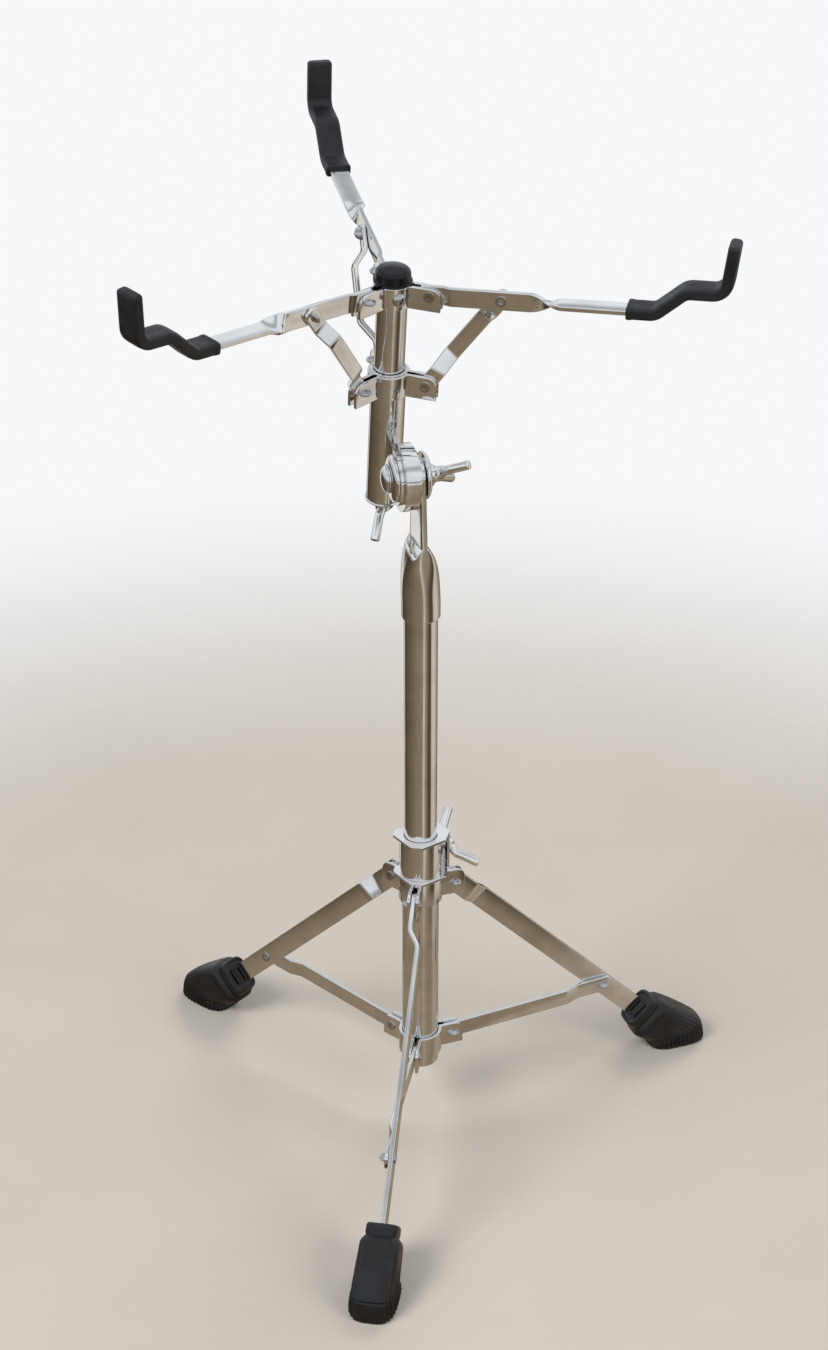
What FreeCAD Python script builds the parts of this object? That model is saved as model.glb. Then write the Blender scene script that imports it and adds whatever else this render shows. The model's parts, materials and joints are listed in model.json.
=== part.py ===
import FreeCAD, Part
import math
import os
import re

import Sketcher

# A folding snare drum stand: a flat-bar tripod, a telescopic column, a disc tilter and a
# three-armed basket that opens and closes like an umbrella. Millimetres and degrees, +Z up,
# the floor at zero and the front leg towards -Y.

doc = FreeCAD.newDocument("snare_drum_stand")
sheet = doc.addObject("Spreadsheet::Sheet", "sizes")

SIZES = {
    # place of the column axis, so that the origin is under the middle of the stand's box
    "column_x": 3.3,
    "column_y": 23.9,
    # clearances
    "running_gap": 0.05,
    "side_gap": 0.3,
    "cut_overrun": 2.0,
    # column tubes
    "base_tube_od": 25.4,
    "base_tube_wall": 1.0,
    "base_tube_bottom": 39.0,
    "base_tube_length": 185.0,
    "stop_bead_height": 3.0,
    "stop_bead_stand": 1.0,
    "mast_od": 22.2,
    "mast_wall": 1.2,
    "mast_bottom": 112.0,
    "mast_length": 292.0,
    "bush_length": 28.0,
    # leg hub and legs
    "leg_hub_height": 19.0,
    "hub_wall": 2.4,
    "ear_thickness": 2.2,
    "ear_margin": 7.0,
    "ear_round": 6.0,
    "leg_pivot_radius": 24.2,
    "leg_pivot_rise": 9.2,
    "leg_angle": 45.0,
    "leg_width": 15.0,
    "leg_thickness": 3.0,
    "leg_head": 7.0,
    "leg_jog": 6.6,
    "leg_jog_start": 19.0,
    "leg_jog_run": 10.0,
    "leg_sunk": 38.0,
    "bar_round_share": 0.36,
    "brace_rivet_setback": 42.6,
    # rubber feet
    "foot_length": 49.2,
    "foot_neck_width": 22.5,
    "foot_neck_depth": 28.0,
    "foot_shoulder": 10.0,
    "foot_shoulder_width": 28.0,
    "foot_shoulder_depth": 34.0,
    "sole_length": 49.0,
    "sole_width": 36.0,
    "sole_edge": 7.0,
    # leg collar and braces
    "leg_collar_height": 17.0,
    "leg_collar_bottom": 47.5,
    "brace_pivot_radius": 24.0,
    "brace_pivot_rise": 9.4,
    "brace_width": 12.0,
    "brace_thickness": 2.5,
    "brace_head": 6.0,
    "brace_tail": 7.0,
    "brace_jog_before": 30.0,
    "brace_jog_run": 9.0,
    # rivets
    "rivet_radius": 2.5,
    "rivet_head_radius": 4.2,
    "rivet_head_height": 1.9,
    "rivet_tail_radius": 3.4,
    "rivet_tail_height": 0.9,
    "rivet_tail_bore": 1.7,
    # height clamp
    "clamp_azimuth": 46.0,
    "clamp_height": 29.5,
    "clamp_plate": 2.0,
    "clamp_wall_distance": 19.0,
    "clamp_wall_width": 16.0,
    "clamp_half_width": 15.5,
    "clamp_rear": 15.5,
    "clamp_clip": 5.0,
    "clamp_taper": 9.0,
    "clamp_band_thickness": 1.6,
    "clamp_band_split": 5.0,
    "clamp_screw_drop": 12.0,
    "clamp_screw_radius": 3.0,
    # wing screws
    "wing_hub_radius": 5.0,
    "wing_hub_length": 7.0,
    "wing_rod_radius": 2.7,
    "wing_knee_out": 9.5,
    "wing_knee_up": 0.8,
    "wing_tip_out": 22.0,
    "wing_tip_up": 13.4,
    "clamp_wing_roll": 38.0,
    "tilter_wing_roll": -41.0,
    "basket_wing_roll": 27.0,
    # stem and tilter
    "tilter_yaw": 25.75,
    "tilt": 9.9,
    "stem_od": 25.4,
    "stem_overlap": 13.0,
    "stem_straight": 11.0,
    "stem_taper": 42.0,
    "blade_length": 44.7,
    "blade_offset": -1.5,
    "blade_thickness": 4.4,
    "blade_half_width": 11.0,
    "stem_root_half_width": 15.0,
    "ratchet_radius": 18.5,
    "ratchet_thickness": 1.5,
    "drum_radius": 21.5,
    "drum_thickness": 9.5,
    "tilter_bolt_radius": 4.0,
    "bolt_dome_radius": 9.4,
    "bolt_dome_height": 5.0,
    "dish_radius": 15.6,
    "dish_crown_radius": 8.0,
    "dish_height": 3.8,
    "dish_wall": 1.6,
    "bracket_thickness": 2.6,
    "bracket_disc_radius": 17.5,
    "bracket_weld_top": 23.2,
    "bracket_weld_bottom": -19.0,
    # basket tubes, placed from the tilter's centre
    "basket_side": -14.3,
    "basket_back": 33.4,
    "outer_tube_od": 22.2,
    "outer_tube_wall": 1.25,
    "outer_tube_bottom": -34.0,
    "outer_tube_top": 58.2,
    "inner_tube_od": 19.1,
    "inner_tube_wall": 1.2,
    "inner_tube_bottom": 0.0,
    "slot_bottom": 21.9,
    "slot_width": 4.6,
    "guide_height": 50.3,
    "guide_radius": 2.1,
    "front_azimuth": -84.0,
    "plug_flange_radius": 12.2,
    "plug_flange_height": 3.0,
    "plug_depth": 8.0,
    "adjuster_radius": 4.0,
    "adjuster_top": 40.0,
    "adjuster_nut_height": 10.0,
    # strut collar, struts
    "strut_collar_bottom": 43.3,
    "strut_collar_height": 15.4,
    "strut_pivot_radius": 24.3,
    "strut_pivot_rise": 9.1,
    "strut_width": 10.0,
    "strut_thickness": 2.5,
    "strut_head": 5.5,
    "strut_bow": 9.0,
    "strut_low_jog_start": 12.0,
    "strut_low_jog_run": 12.0,
    "strut_top_jog_before": 20.0,
    "strut_top_jog_run": 9.0,
    # arm hub, arms
    "arm_hub_bottom": 104.2,
    "arm_hub_height": 14.6,
    "arm_pivot_radius": 23.8,
    "arm_pivot_rise": 9.7,
    "arm_elevation": 5.7,
    "arm_width": 12.0,
    "arm_thickness": 3.0,
    "arm_head": 6.0,
    "arm_jog": 1.6,
    "arm_jog_start": 8.5,
    "arm_jog_run": 4.0,
    "strut_rivet_distance": 44.1,
    "arm_twist_start": 60.0,
    "arm_twist_run": 22.0,
    "arm_step_start": 137.0,
    "arm_step_run": 18.0,
    "arm_step_rise": 15.0,
    "arm_shelf": 23.0,
    "arm_upright": 28.0,
    "arm_lean": 4.0,
    "sleeve_start": 120.0,
    "sleeve_width": 16.0,
    "sleeve_thickness": 7.5,
    "sleeve_end_wall": 3.0,
    "hub_screw_radius": 2.0,
    "hub_screw_head_radius": 4.4,
    "hub_screw_head_height": 2.6,
    "hub_screw_height": 111.5,
    "cap_radius": 12.1,
    "cap_rim": 1.6,
    "cap_wall": 4.0,
    "cap_wall_radius": 11.4,
    "cap_dome": 4.4,
    "cap_dome_radius": 11.0,
}

LEGS = {"front": -90.0, "right": 30.0, "left": 150.0}
ARMS = {"right": -30.0, "rear": 90.0, "left": 210.0}
TWIST_STEPS = 6
OVAL_SIDES = 24
STEM_SHARES = (0.0, 0.3, 0.55, 0.75, 0.9, 1.0)
SWELL_POWER = 2.6
CLOSE_POWER = 0.75

for row, (alias, value) in enumerate(SIZES.items(), start=1):
    sheet.set(f"A{row}", alias)
    sheet.set(f"B{row}", str(value))
    sheet.setAlias(f"B{row}", alias)
doc.recompute()

# Sizes worked out from the driving ones
BASE_ID = "(base_tube_od - 2 * base_tube_wall)"
MAST_TOP = "(mast_bottom + mast_length)"
BASE_TOP = "(base_tube_bottom + base_tube_length)"
HUB_TOP = f"({BASE_TOP} - clamp_height)"
HUB_BOTTOM = f"({HUB_TOP} - leg_hub_height)"
LEG_PIVOT = f"({HUB_BOTTOM} + leg_pivot_rise)"
LEG_REACH = f"({LEG_PIVOT} / cos(leg_angle))"
FOOT_MOUTH = f"({LEG_REACH} - foot_length)"
BRACE_RIVET = f"({FOOT_MOUTH} - brace_rivet_setback)"
BRACE_PIVOT = "(leg_collar_bottom + brace_pivot_rise)"
BRACE_RUN = f"(leg_pivot_radius + {BRACE_RIVET} * sin(leg_angle) - brace_pivot_radius)"
BRACE_RISE = f"({LEG_PIVOT} - {BRACE_RIVET} * cos(leg_angle) - {BRACE_PIVOT})"
BRACE_LENGTH = f"sqrt({BRACE_RUN} ^ 2 + {BRACE_RISE} ^ 2)"
BRACE_JOG = "(leg_jog - leg_thickness / 2 - side_gap - brace_thickness / 2)"
STRUT_PIVOT = "(strut_collar_bottom + strut_pivot_rise)"
ARM_PIVOT = "(arm_hub_bottom + arm_pivot_rise)"
STRUT_RUN = "(arm_pivot_radius + strut_rivet_distance * cos(arm_elevation) - strut_pivot_radius)"
STRUT_RISE = f"({ARM_PIVOT} + strut_rivet_distance * sin(arm_elevation) - {STRUT_PIVOT})"
STRUT_LENGTH = f"sqrt({STRUT_RUN} ^ 2 + {STRUT_RISE} ^ 2)"
STRUT_TOP = "(-arm_jog + arm_thickness / 2 + side_gap + strut_thickness / 2)"
FLOOR_REACH = f"(leg_pivot_radius + {LEG_PIVOT} * tan(leg_angle))"
OUTER_ID = "(outer_tube_od - 2 * outer_tube_wall)"
INNER_ID = "(inner_tube_od - 2 * inner_tube_wall)"
STEM_BOTTOM = f"({MAST_TOP} - stem_overlap)"
FLARE_BOTTOM = f"({STEM_BOTTOM} + stem_straight)"
TILTER_HEIGHT = f"({FLARE_BOTTOM} + stem_taper + blade_length)"
STACK_LEFT = "(blade_offset - blade_thickness / 2)"
STACK_RIGHT = "(blade_offset + blade_thickness / 2)"
DRUM_RIGHT = f"({STACK_LEFT} - ratchet_thickness - side_gap)"
PLATE_RIGHT = f"({DRUM_RIGHT} - drum_thickness)"
PLATE_LEFT = f"({PLATE_RIGHT} - bracket_thickness)"
DOME_RIGHT = f"({PLATE_LEFT} - dish_height - side_gap)"
NUT_LEFT = f"({STACK_RIGHT} + dish_height + side_gap)"
SCREW_HEIGHT = f"({BASE_TOP} - clamp_screw_drop)"
BAND_RADIUS = "(base_tube_od / 2 + clamp_band_thickness)"

X, Y, Z = FreeCAD.Vector(1, 0, 0), FreeCAD.Vector(0, 1, 0), FreeCAD.Vector(0, 0, 1)
UPRIGHT = FreeCAD.Rotation()
ALONG_X = FreeCAD.Rotation(Y, 90)
ALONG_Y = FreeCAD.Rotation(X, -90)
parts = []


def bound(text):
    """The expression with every size's name pointed at the sheet."""
    return re.sub(r"[a-z_]+", lambda m: f"sizes.{m.group()}" if m.group() in SIZES else m.group(), text)


def number(text):
    return float(sheet.evalExpression(bound(text)))


def spot(x="0", y="0", z="0", rotation=UPRIGHT):
    return FreeCAD.Placement(FreeCAD.Vector(number(x), number(y), number(z)), rotation)


def turned(axis, angle):
    return FreeCAD.Placement(FreeCAD.Vector(), FreeCAD.Rotation(axis, angle))


def primitive(kind, place, **sizes):
    item = doc.addObject(f"Part::{kind}", kind.lower())
    for name, text in sizes.items():
        item.setExpression(name, bound(text))
    item.Placement = place
    return item


def rod(radius, length, place):
    return primitive("Cylinder", place, Radius=radius, Height=length)


def fuse(*shapes):
    item = doc.addObject("Part::MultiFuse", "fuse")
    item.Shapes = list(shapes)
    return item


def cut(base, *tools):
    item = doc.addObject("Part::Cut", "cut")
    item.Base = base
    item.Tool = tools[0] if len(tools) == 1 else fuse(*tools)
    return item


def loft(sections, ruled):
    item = doc.addObject("Part::Loft", "loft")
    item.Sections = list(sections)
    item.Solid = True
    item.Ruled = ruled
    return item


def group(*shapes):
    item = doc.addObject("Part::Compound", "group")
    item.Links = list(shapes)
    return item


def keep(label, item, frame=None):
    """Names a finished sub-part and moves it from its own frame to its place."""
    item.Label = label
    if frame is not None:
        item.Placement = frame
    parts.append(item)
    return item


def sketch(body, role, points, offset=FreeCAD.Placement()):
    """A closed outline on one of the body's own planes, each corner held by two bound lengths."""
    plane = next(f for f in body.Origin.OriginFeatures if f.Role == role)
    item = body.newObject("Sketcher::SketchObject", "outline")
    item.AttachmentSupport = [(plane, "")]
    item.MapMode = "FlatFace"
    item.AttachmentOffset = offset
    corners = [FreeCAD.Vector(number(x), number(y), 0) for x, y in points]
    count = len(corners)
    for i in range(count):
        item.addGeometry(Part.LineSegment(corners[i], corners[(i + 1) % count]))
    for i in range(count):
        item.addConstraint(Sketcher.Constraint("Coincident", i, 2, (i + 1) % count, 1))
    for i in range(count):
        for kind, text, length in zip(("DistanceX", "DistanceY"), points[i], corners[i]):
            index = item.addConstraint(Sketcher.Constraint(kind, -1, 1, i, 1, length))
            item.setExpression(f"Constraints[{index}]", bound(text))
    return item


def padded(role, points, length, middle=True, rounding=None, corner=None):
    """A body padded from an outline, with the edges that the corner test picks rounded over."""
    body = doc.addObject("PartDesign::Body", "body")
    pad = body.newObject("PartDesign::Pad", "pad")
    pad.Profile = sketch(body, role, points)
    pad.setExpression("Length", bound(length))
    pad.Midplane = middle
    if rounding:
        doc.recompute()
        names = [f"Edge{i}" for i, e in enumerate(pad.Shape.Edges, start=1) if corner(e)]
        fillet = body.newObject("PartDesign::Fillet", "fillet")
        fillet.Base = (pad, names)
        fillet.setExpression("Radius", bound(rounding))
    return body


def oval(along, across):
    """The corners of a many-sided oval."""
    angles = [360 * i / OVAL_SIDES for i in range(OVAL_SIDES)]
    return [(f"{along} / 2 * cos({angle})", f"{across} / 2 * sin({angle})") for angle in angles]


def lofted(outlines, places):
    """A body that runs through the outlines in turn, each laid at its place."""
    body = doc.addObject("PartDesign::Body", "body")
    sections = [sketch(body, "XY_Plane", o, p) for o, p in zip(outlines, places)]
    skin = body.newObject("PartDesign::AdditiveLoft", "skin")
    skin.Profile = sections[0]
    skin.Sections = sections[1:]
    skin.Ruled = True
    return body


def flat_bar(line, thickness, width, rounding):
    """A bar on edge along X, bent sideways along the (x, y) line, with both ends rounded."""
    left = [(x, f"{y} + {thickness} / 2") for x, y in line]
    right = [(x, f"{y} - {thickness} / 2") for x, y in reversed(line)]
    ends = (number(line[0][0]), number(line[-1][0]))

    def at_end(edge):
        first, last = (v.Point for v in edge.Vertexes)
        across = abs(first.y - last.y) > number("running_gap")
        return across and all(min(abs(p.x - e) for e in ends) < number("running_gap") for p in (first, last))

    return padded("XY_Plane", right[::-1] + left[::-1], width, True, rounding, at_end)


def tube(od, wall, length, place):
    outer = rod(f"{od} / 2", length, place)
    bore = rod(f"{od} / 2 - {wall}", f"{length} + 2 * cut_overrun",
               place * spot(z="-cut_overrun"))
    return cut(outer, bore)


def ear_hub(tube_od, gap, bottom, height, pivot_radius, pivot_height, bar, azimuths):
    """A ring round a tube with a pair of ears for each bar, bored for the tube and the pivots."""
    place = spot(z=bottom)
    solids = [rod(f"{tube_od} / 2 + {gap} + hub_wall", height, place)]
    holes = [rod(f"{tube_od} / 2 + {gap}", f"{height} + 2 * cut_overrun",
                 place * spot(z="-cut_overrun"))]
    inner = f"({bar} / 2 + side_gap)"
    reach = f"({pivot_radius} + ear_margin)"
    root = f"({tube_od} / 2 + {gap} + hub_wall / 2)"
    tip, top = number(reach), number(height)

    def upper_corner(edge):
        first, last = (v.Point for v in edge.Vertexes)
        return all(abs(p.x - tip) < number("running_gap") and abs(p.z - top) < number("running_gap")
                   for p in (first, last))

    for azimuth in azimuths:
        turn = turned(Z, azimuth)
        for side in ("1", "-1"):
            near, far = f"{side} * {inner}", f"{side} * ({inner} + ear_thickness)"
            outline = [(root, near), (reach, near), (reach, far), (root, far)]
            ear = padded("XY_Plane", outline if side == "1" else outline[::-1], height, False,
                         "ear_round", upper_corner)
            ear.Placement = turn * place
            solids.append(ear)
        holes.append(rod("rivet_radius", f"4 * {inner} + 4 * ear_thickness",
                         turn * spot(pivot_radius, f"-2 * {inner} - 2 * ear_thickness", pivot_height, ALONG_Y)))
    return cut(fuse(*solids), *holes)


def rivet_head(start, place):
    """A low dome that stands on the plane at start, pointing along -Y."""
    dome = primitive("Ellipsoid", place * spot(y=start), Radius1="rivet_head_radius",
                     Radius2="rivet_head_radius", Radius3="rivet_head_height")
    dome.Placement = place * spot(y=start, rotation=FreeCAD.Rotation(X, 90))
    dome.Angle1 = 0
    return dome


def rivet_tail(start, place):
    """A rolled hollow tail that stands on the plane at start, pointing along +Y."""
    rim = rod("rivet_tail_radius", "rivet_tail_height", place * spot(y=start, rotation=ALONG_Y))
    bore = rod("rivet_tail_bore", "rivet_tail_height + cut_overrun", place * spot(y=start, rotation=ALONG_Y))
    return cut(rim, bore)


def pivot_rivets(bar, pivot_radius, pivot_height, azimuths, flip):
    """One rivet through each pair of ears; flip puts the heads on the other side."""
    half = f"({bar} / 2 + side_gap + ear_thickness)"
    rivets = []
    for azimuth in azimuths:
        place = turned(Z, azimuth) * spot(pivot_radius, "0", pivot_height) * turned(X, 180 if flip else 0)
        shank = rod("rivet_radius", f"2 * {half}", place * spot(y=f"-{half}", rotation=ALONG_Y))
        rivets.append(fuse(shank, rivet_head(f"-{half}", place), rivet_tail(half, place)))
    return group(*rivets)


def wing(shank_radius, shank_from, shank_to, roll):
    """A screw along +Z whose head is a small hub crossed by a rod with both ends bent up."""
    shank = rod(shank_radius, f"{shank_to} - {shank_from}", spot(z=shank_from))
    hub = rod("wing_hub_radius", "wing_hub_length", spot(z=shank_to))
    solids = [shank, hub]
    start = spot(z=f"{shank_to} + wing_hub_length - wing_rod_radius") * turned(Z, number(roll))
    knee = ("wing_knee_out", "wing_knee_up")
    prong = ("(wing_tip_out - wing_knee_out)", "(wing_tip_up - wing_knee_up)")
    for side in (90, -90):
        aim = start * turned(Z, side)
        bend = aim * spot(knee[0], "0", knee[1])
        for place, (out, up) in ((aim, knee), (bend, prong)):
            lean = math.degrees(math.atan2(number(out), number(up)))
            solids.append(rod("wing_rod_radius", f"sqrt({out} ^ 2 + {up} ^ 2)", place * turned(Y, lean)))
        solids.append(primitive("Sphere", bend, Radius="wing_rod_radius"))
    return fuse(*solids)


def dish(flip):
    """A dished washer along X, open towards the stack."""
    outer = primitive("Cone", FreeCAD.Placement(), Radius1="dish_radius", Radius2="dish_crown_radius",
                      Height="dish_height")
    inner = primitive("Cone", spot(z="-dish_wall"), Radius1="dish_radius", Radius2="dish_crown_radius",
                      Height="dish_height")
    hole = rod("tilter_bolt_radius + running_gap", "dish_height + 2 * cut_overrun", spot(z="-cut_overrun"))
    return cut(outer, inner, hole), FreeCAD.Rotation(Y, -90 if flip else 90)


column = spot("column_x", "column_y")
mast_frame = column * turned(Z, number("tilter_yaw"))
tilter = mast_frame * spot(z=TILTER_HEIGHT)
tilted = tilter * turned(X, number("tilt"))
basket = tilted * spot("basket_side", "basket_back")
clamp = column * turned(Z, number("clamp_azimuth"))

# Lower column
base = fuse(tube("base_tube_od", "base_tube_wall", "base_tube_length", spot(z="base_tube_bottom")),
            tube("(base_tube_od + 2 * stop_bead_stand)", "(base_tube_wall + stop_bead_stand)",
                 "stop_bead_height", spot(z="leg_collar_bottom - side_gap - stop_bead_height")))
keep("base_tube", base, column)
keep("leg_hub", ear_hub("base_tube_od", "0", HUB_BOTTOM, "leg_hub_height", "leg_pivot_radius",
                        LEG_PIVOT, "leg_thickness", LEGS.values()), column)
keep("leg_pivot_rivets", pivot_rivets("leg_thickness", "leg_pivot_radius", LEG_PIVOT,
                                      LEGS.values(), False), column)
bush = tube(f"({BASE_ID} - 2 * running_gap)", f"({BASE_ID} / 2 - mast_od / 2 - 2 * running_gap)",
            "bush_length", spot(z=f"{BASE_TOP} - bush_length"))
keep("clamp_bush", bush, column)

# Height clamp: a folded bracket, a split band and a wing screw
wall_in = "(clamp_wall_distance - clamp_plate)"
plate_line = [("clamp_wall_distance", "-clamp_wall_width / 2"), ("clamp_wall_distance", "clamp_wall_width / 2"),
              ("clamp_wall_distance - clamp_taper", "clamp_half_width"),
              ("clamp_clip - clamp_rear", "clamp_half_width"), ("-clamp_rear", "clamp_half_width - clamp_clip"),
              ("-clamp_rear", "clamp_clip - clamp_half_width"), ("clamp_clip - clamp_rear", "-clamp_half_width"),
              ("clamp_wall_distance - clamp_taper", "-clamp_half_width")]
top_plate = padded("XY_Plane", plate_line, "clamp_plate", False)
top_plate.Placement = spot(z=BASE_TOP)
low_plate = padded("XY_Plane", plate_line, "clamp_plate", False)
low_plate.Placement = spot(z=HUB_TOP)
wall_line = [(wall_in, "-clamp_wall_width / 2"), ("clamp_wall_distance", "-clamp_wall_width / 2"),
             ("clamp_wall_distance", "clamp_wall_width / 2"), (wall_in, "clamp_wall_width / 2")]
wall = padded("XY_Plane", wall_line, f"{BASE_TOP} + clamp_plate - {HUB_TOP}", False)
wall.Placement = spot(z=HUB_TOP)
top_hole = rod("mast_od / 2 + side_gap", "3 * clamp_plate", spot(z=f"{BASE_TOP} - clamp_plate"))
low_hole = rod("base_tube_od / 2", "3 * clamp_plate", spot(z=f"{HUB_TOP} - clamp_plate"))
screw_hole = rod("clamp_screw_radius + running_gap", "3 * clamp_plate",
                 spot(f"{wall_in} - clamp_plate", "0", SCREW_HEIGHT, ALONG_X))
keep("height_clamp_bracket", cut(fuse(top_plate, low_plate, wall), top_hole, low_hole, screw_hole), clamp)
band_height = f"({BASE_TOP} - {HUB_TOP} - clamp_plate)"
band_ring = tube(f"(2 * {BAND_RADIUS})", "clamp_band_thickness", band_height, spot(z=f"{HUB_TOP} + clamp_plate"))
split = primitive("Box", spot("0", "-clamp_band_split / 2", f"{HUB_TOP} - cut_overrun"),
                  Length=f"2 * {BAND_RADIUS}", Width="clamp_band_split", Height=f"{band_height} + 3 * cut_overrun")
split.Placement = turned(Z, 90) * split.Placement
keep("height_clamp_band", cut(band_ring, split), clamp)
clamp_wing = wing("clamp_screw_radius", f"{BAND_RADIUS} + side_gap", "clamp_wall_distance + side_gap",
                  "clamp_wing_roll")
keep("height_wing_screw", clamp_wing, clamp * spot(z=SCREW_HEIGHT, rotation=ALONG_X))

# Legs, rubber feet and the leg halves of the brace rivets
leg_end = f"({LEG_REACH} - leg_sunk / 2)"
leg_line = [("-leg_head", "0"), ("leg_jog_start", "0"), ("leg_jog_start + leg_jog_run", "leg_jog"),
            (leg_end, "leg_jog")]
for side, azimuth in LEGS.items():
    spoke = column * turned(Z, azimuth)
    lean = turned(Y, 90 - number("leg_angle"))
    leg_place = spot("leg_pivot_radius", "0", LEG_PIVOT) * lean
    bar = flat_bar(leg_line, "leg_thickness", "leg_width", "leg_width * bar_round_share")
    pivot_hole = rod("rivet_radius + running_gap", "2 * leg_width", spot(y="-leg_width", rotation=ALONG_Y))
    rivet_hole = rod("rivet_radius", "2 * leg_width",
                     spot(BRACE_RIVET, "-leg_width", rotation=ALONG_Y))
    keep(f"leg_{side}", cut(bar, pivot_hole, rivet_hole), spoke * leg_place)
    inside = "(leg_jog - leg_thickness / 2)"
    shank = rod("rivet_radius", "leg_thickness", spot(BRACE_RIVET, inside, rotation=ALONG_Y))
    tail = rivet_tail("leg_jog + leg_thickness / 2", spot(BRACE_RIVET))
    keep(f"brace_rivet_tail_{side}", fuse(shank, tail), spoke * leg_place)

    boot = lofted([oval("sole_length", "sole_width"), oval("sole_length", "sole_width"),
                   oval("foot_shoulder_depth", "foot_shoulder_width"), oval("foot_neck_depth", "foot_neck_width")],
                  [spot(FLOOR_REACH, "leg_jog"), spot(FLOOR_REACH, "leg_jog", "sole_edge"),
                   leg_place * spot(f"{FOOT_MOUTH} + foot_shoulder", "leg_jog") * turned(Y, -90),
                   leg_place * spot(FOOT_MOUTH, "leg_jog") * turned(Y, -90)])
    socket = flat_bar(leg_line, "leg_thickness", "leg_width", "leg_width * bar_round_share")
    socket.Placement = leg_place
    keep(f"foot_{side}", cut(boot, socket), spoke)

# Leg collar and braces, with the brace halves of the rivets
keep("leg_collar", ear_hub("base_tube_od", "side_gap", "leg_collar_bottom", "leg_collar_height",
                           "brace_pivot_radius", BRACE_PIVOT, "brace_thickness", LEGS.values()), column)
keep("brace_pivot_rivets", pivot_rivets("brace_thickness", "brace_pivot_radius", BRACE_PIVOT,
                                        LEGS.values(), False), column)
jog_from = f"({BRACE_LENGTH} - brace_jog_before)"
brace_line = [("-brace_head", "0"), (jog_from, "0"), (f"{jog_from} + brace_jog_run", BRACE_JOG),
              (f"{BRACE_LENGTH} + brace_tail", BRACE_JOG)]
brace_rise = math.degrees(math.atan2(number(BRACE_RISE), number(BRACE_RUN)))
for side, azimuth in LEGS.items():
    frame = column * turned(Z, azimuth) * spot("brace_pivot_radius", "0", BRACE_PIVOT)
    frame = frame * turned(Y, -brace_rise)
    bar = flat_bar(brace_line, "brace_thickness", "brace_width", "brace_width * bar_round_share")
    pivot_hole = rod("rivet_radius + running_gap", "2 * brace_width", spot(y="-brace_width", rotation=ALONG_Y))
    rivet_hole = rod("rivet_radius", "2 * brace_width", spot(BRACE_LENGTH, "-brace_width", rotation=ALONG_Y))
    keep(f"brace_{side}", cut(bar, pivot_hole, rivet_hole), frame)
    outside = f"({BRACE_JOG} - brace_thickness / 2)"
    shank = rod("rivet_radius", "brace_thickness", spot(BRACE_LENGTH, outside, rotation=ALONG_Y))
    keep(f"brace_rivet_head_{side}", fuse(shank, rivet_head(outside, spot(BRACE_LENGTH))), frame)


def stem_section(share):
    """The stem's outline at a share of its taper: round at the bottom, swelling in to the blade."""
    flat = f"(1 - {share} ^ {SWELL_POWER}) ^ {CLOSE_POWER}"
    return oval(f"(blade_thickness + (stem_od - blade_thickness) * {flat})",
                f"(stem_od + (2 * stem_root_half_width - stem_od) * {share})")


# Mast: upper tube and the stem, a sleeve flattened into a blade
keep("mast_tube", cut(rod("mast_od / 2", "mast_length", spot(z="mast_bottom")),
                      rod("mast_od / 2 - mast_wall", "mast_length + 2 * cut_overrun",
                          spot(z="mast_bottom - cut_overrun"))), mast_frame)
flare_places = [spot(f"blade_offset * {share}", "0", f"{FLARE_BOTTOM} + stem_taper * {share}")
                for share in STEM_SHARES]
flare = lofted([stem_section(share) for share in STEM_SHARES], flare_places)
sleeve = rod("stem_od / 2", "stem_straight", spot(z=STEM_BOTTOM))
blade_from = f"({FLARE_BOTTOM} + stem_taper / 2)"
blade = primitive("Box", spot(STACK_LEFT, "-blade_half_width", blade_from), Length="blade_thickness",
                  Width="2 * blade_half_width", Height=f"{TILTER_HEIGHT} - {blade_from}")
eye = rod("blade_half_width", "blade_thickness", spot(STACK_LEFT, "0", TILTER_HEIGHT, ALONG_X))
socket = rod("mast_od / 2", "stem_overlap + cut_overrun", spot(z=f"{STEM_BOTTOM} - cut_overrun"))
eye_hole = rod("tilter_bolt_radius", "3 * blade_thickness",
               spot(f"{STACK_LEFT} - blade_thickness", "0", TILTER_HEIGHT, ALONG_X))
keep("tilter_stem", cut(fuse(flare, sleeve, blade, eye), socket, eye_hole), mast_frame)

# Tilter stack along the bolt
ratchet = cut(rod("ratchet_radius", "ratchet_thickness", FreeCAD.Placement()),
              rod("tilter_bolt_radius", "3 * ratchet_thickness", spot(z="-ratchet_thickness")))
keep("stem_ratchet", ratchet, tilter * spot(f"{STACK_LEFT} - ratchet_thickness", rotation=ALONG_X))
washer, facing = dish(False)
keep("nut_dish_washer", washer, tilter * spot(STACK_RIGHT, rotation=facing))
bolt_end = f"({NUT_LEFT} + wing_hub_length - side_gap)"
bolt_shank = rod("tilter_bolt_radius", f"{bolt_end} - {DOME_RIGHT}", spot(DOME_RIGHT, rotation=ALONG_X))
bolt_dome = primitive("Ellipsoid", spot(DOME_RIGHT, rotation=FreeCAD.Rotation(Y, -90)), Radius1="bolt_dome_radius",
                      Radius2="bolt_dome_radius", Radius3="bolt_dome_height")
bolt_dome.Angle1 = 0
keep("tilter_bolt", fuse(bolt_shank, bolt_dome), tilter)
wing_nut = cut(wing("wing_hub_radius + tilter_bolt_radius / 2", "0", "wing_hub_length / 2", "tilter_wing_roll"),
               rod("tilter_bolt_radius + running_gap", "wing_hub_length + cut_overrun", spot(z="-cut_overrun")))
keep("tilter_wing_nut", wing_nut, tilter * spot(NUT_LEFT, rotation=ALONG_X))
drum = cut(rod("drum_radius", "drum_thickness", FreeCAD.Placement()),
           rod("tilter_bolt_radius + running_gap", "3 * drum_thickness", spot(z="-drum_thickness")))
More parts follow.
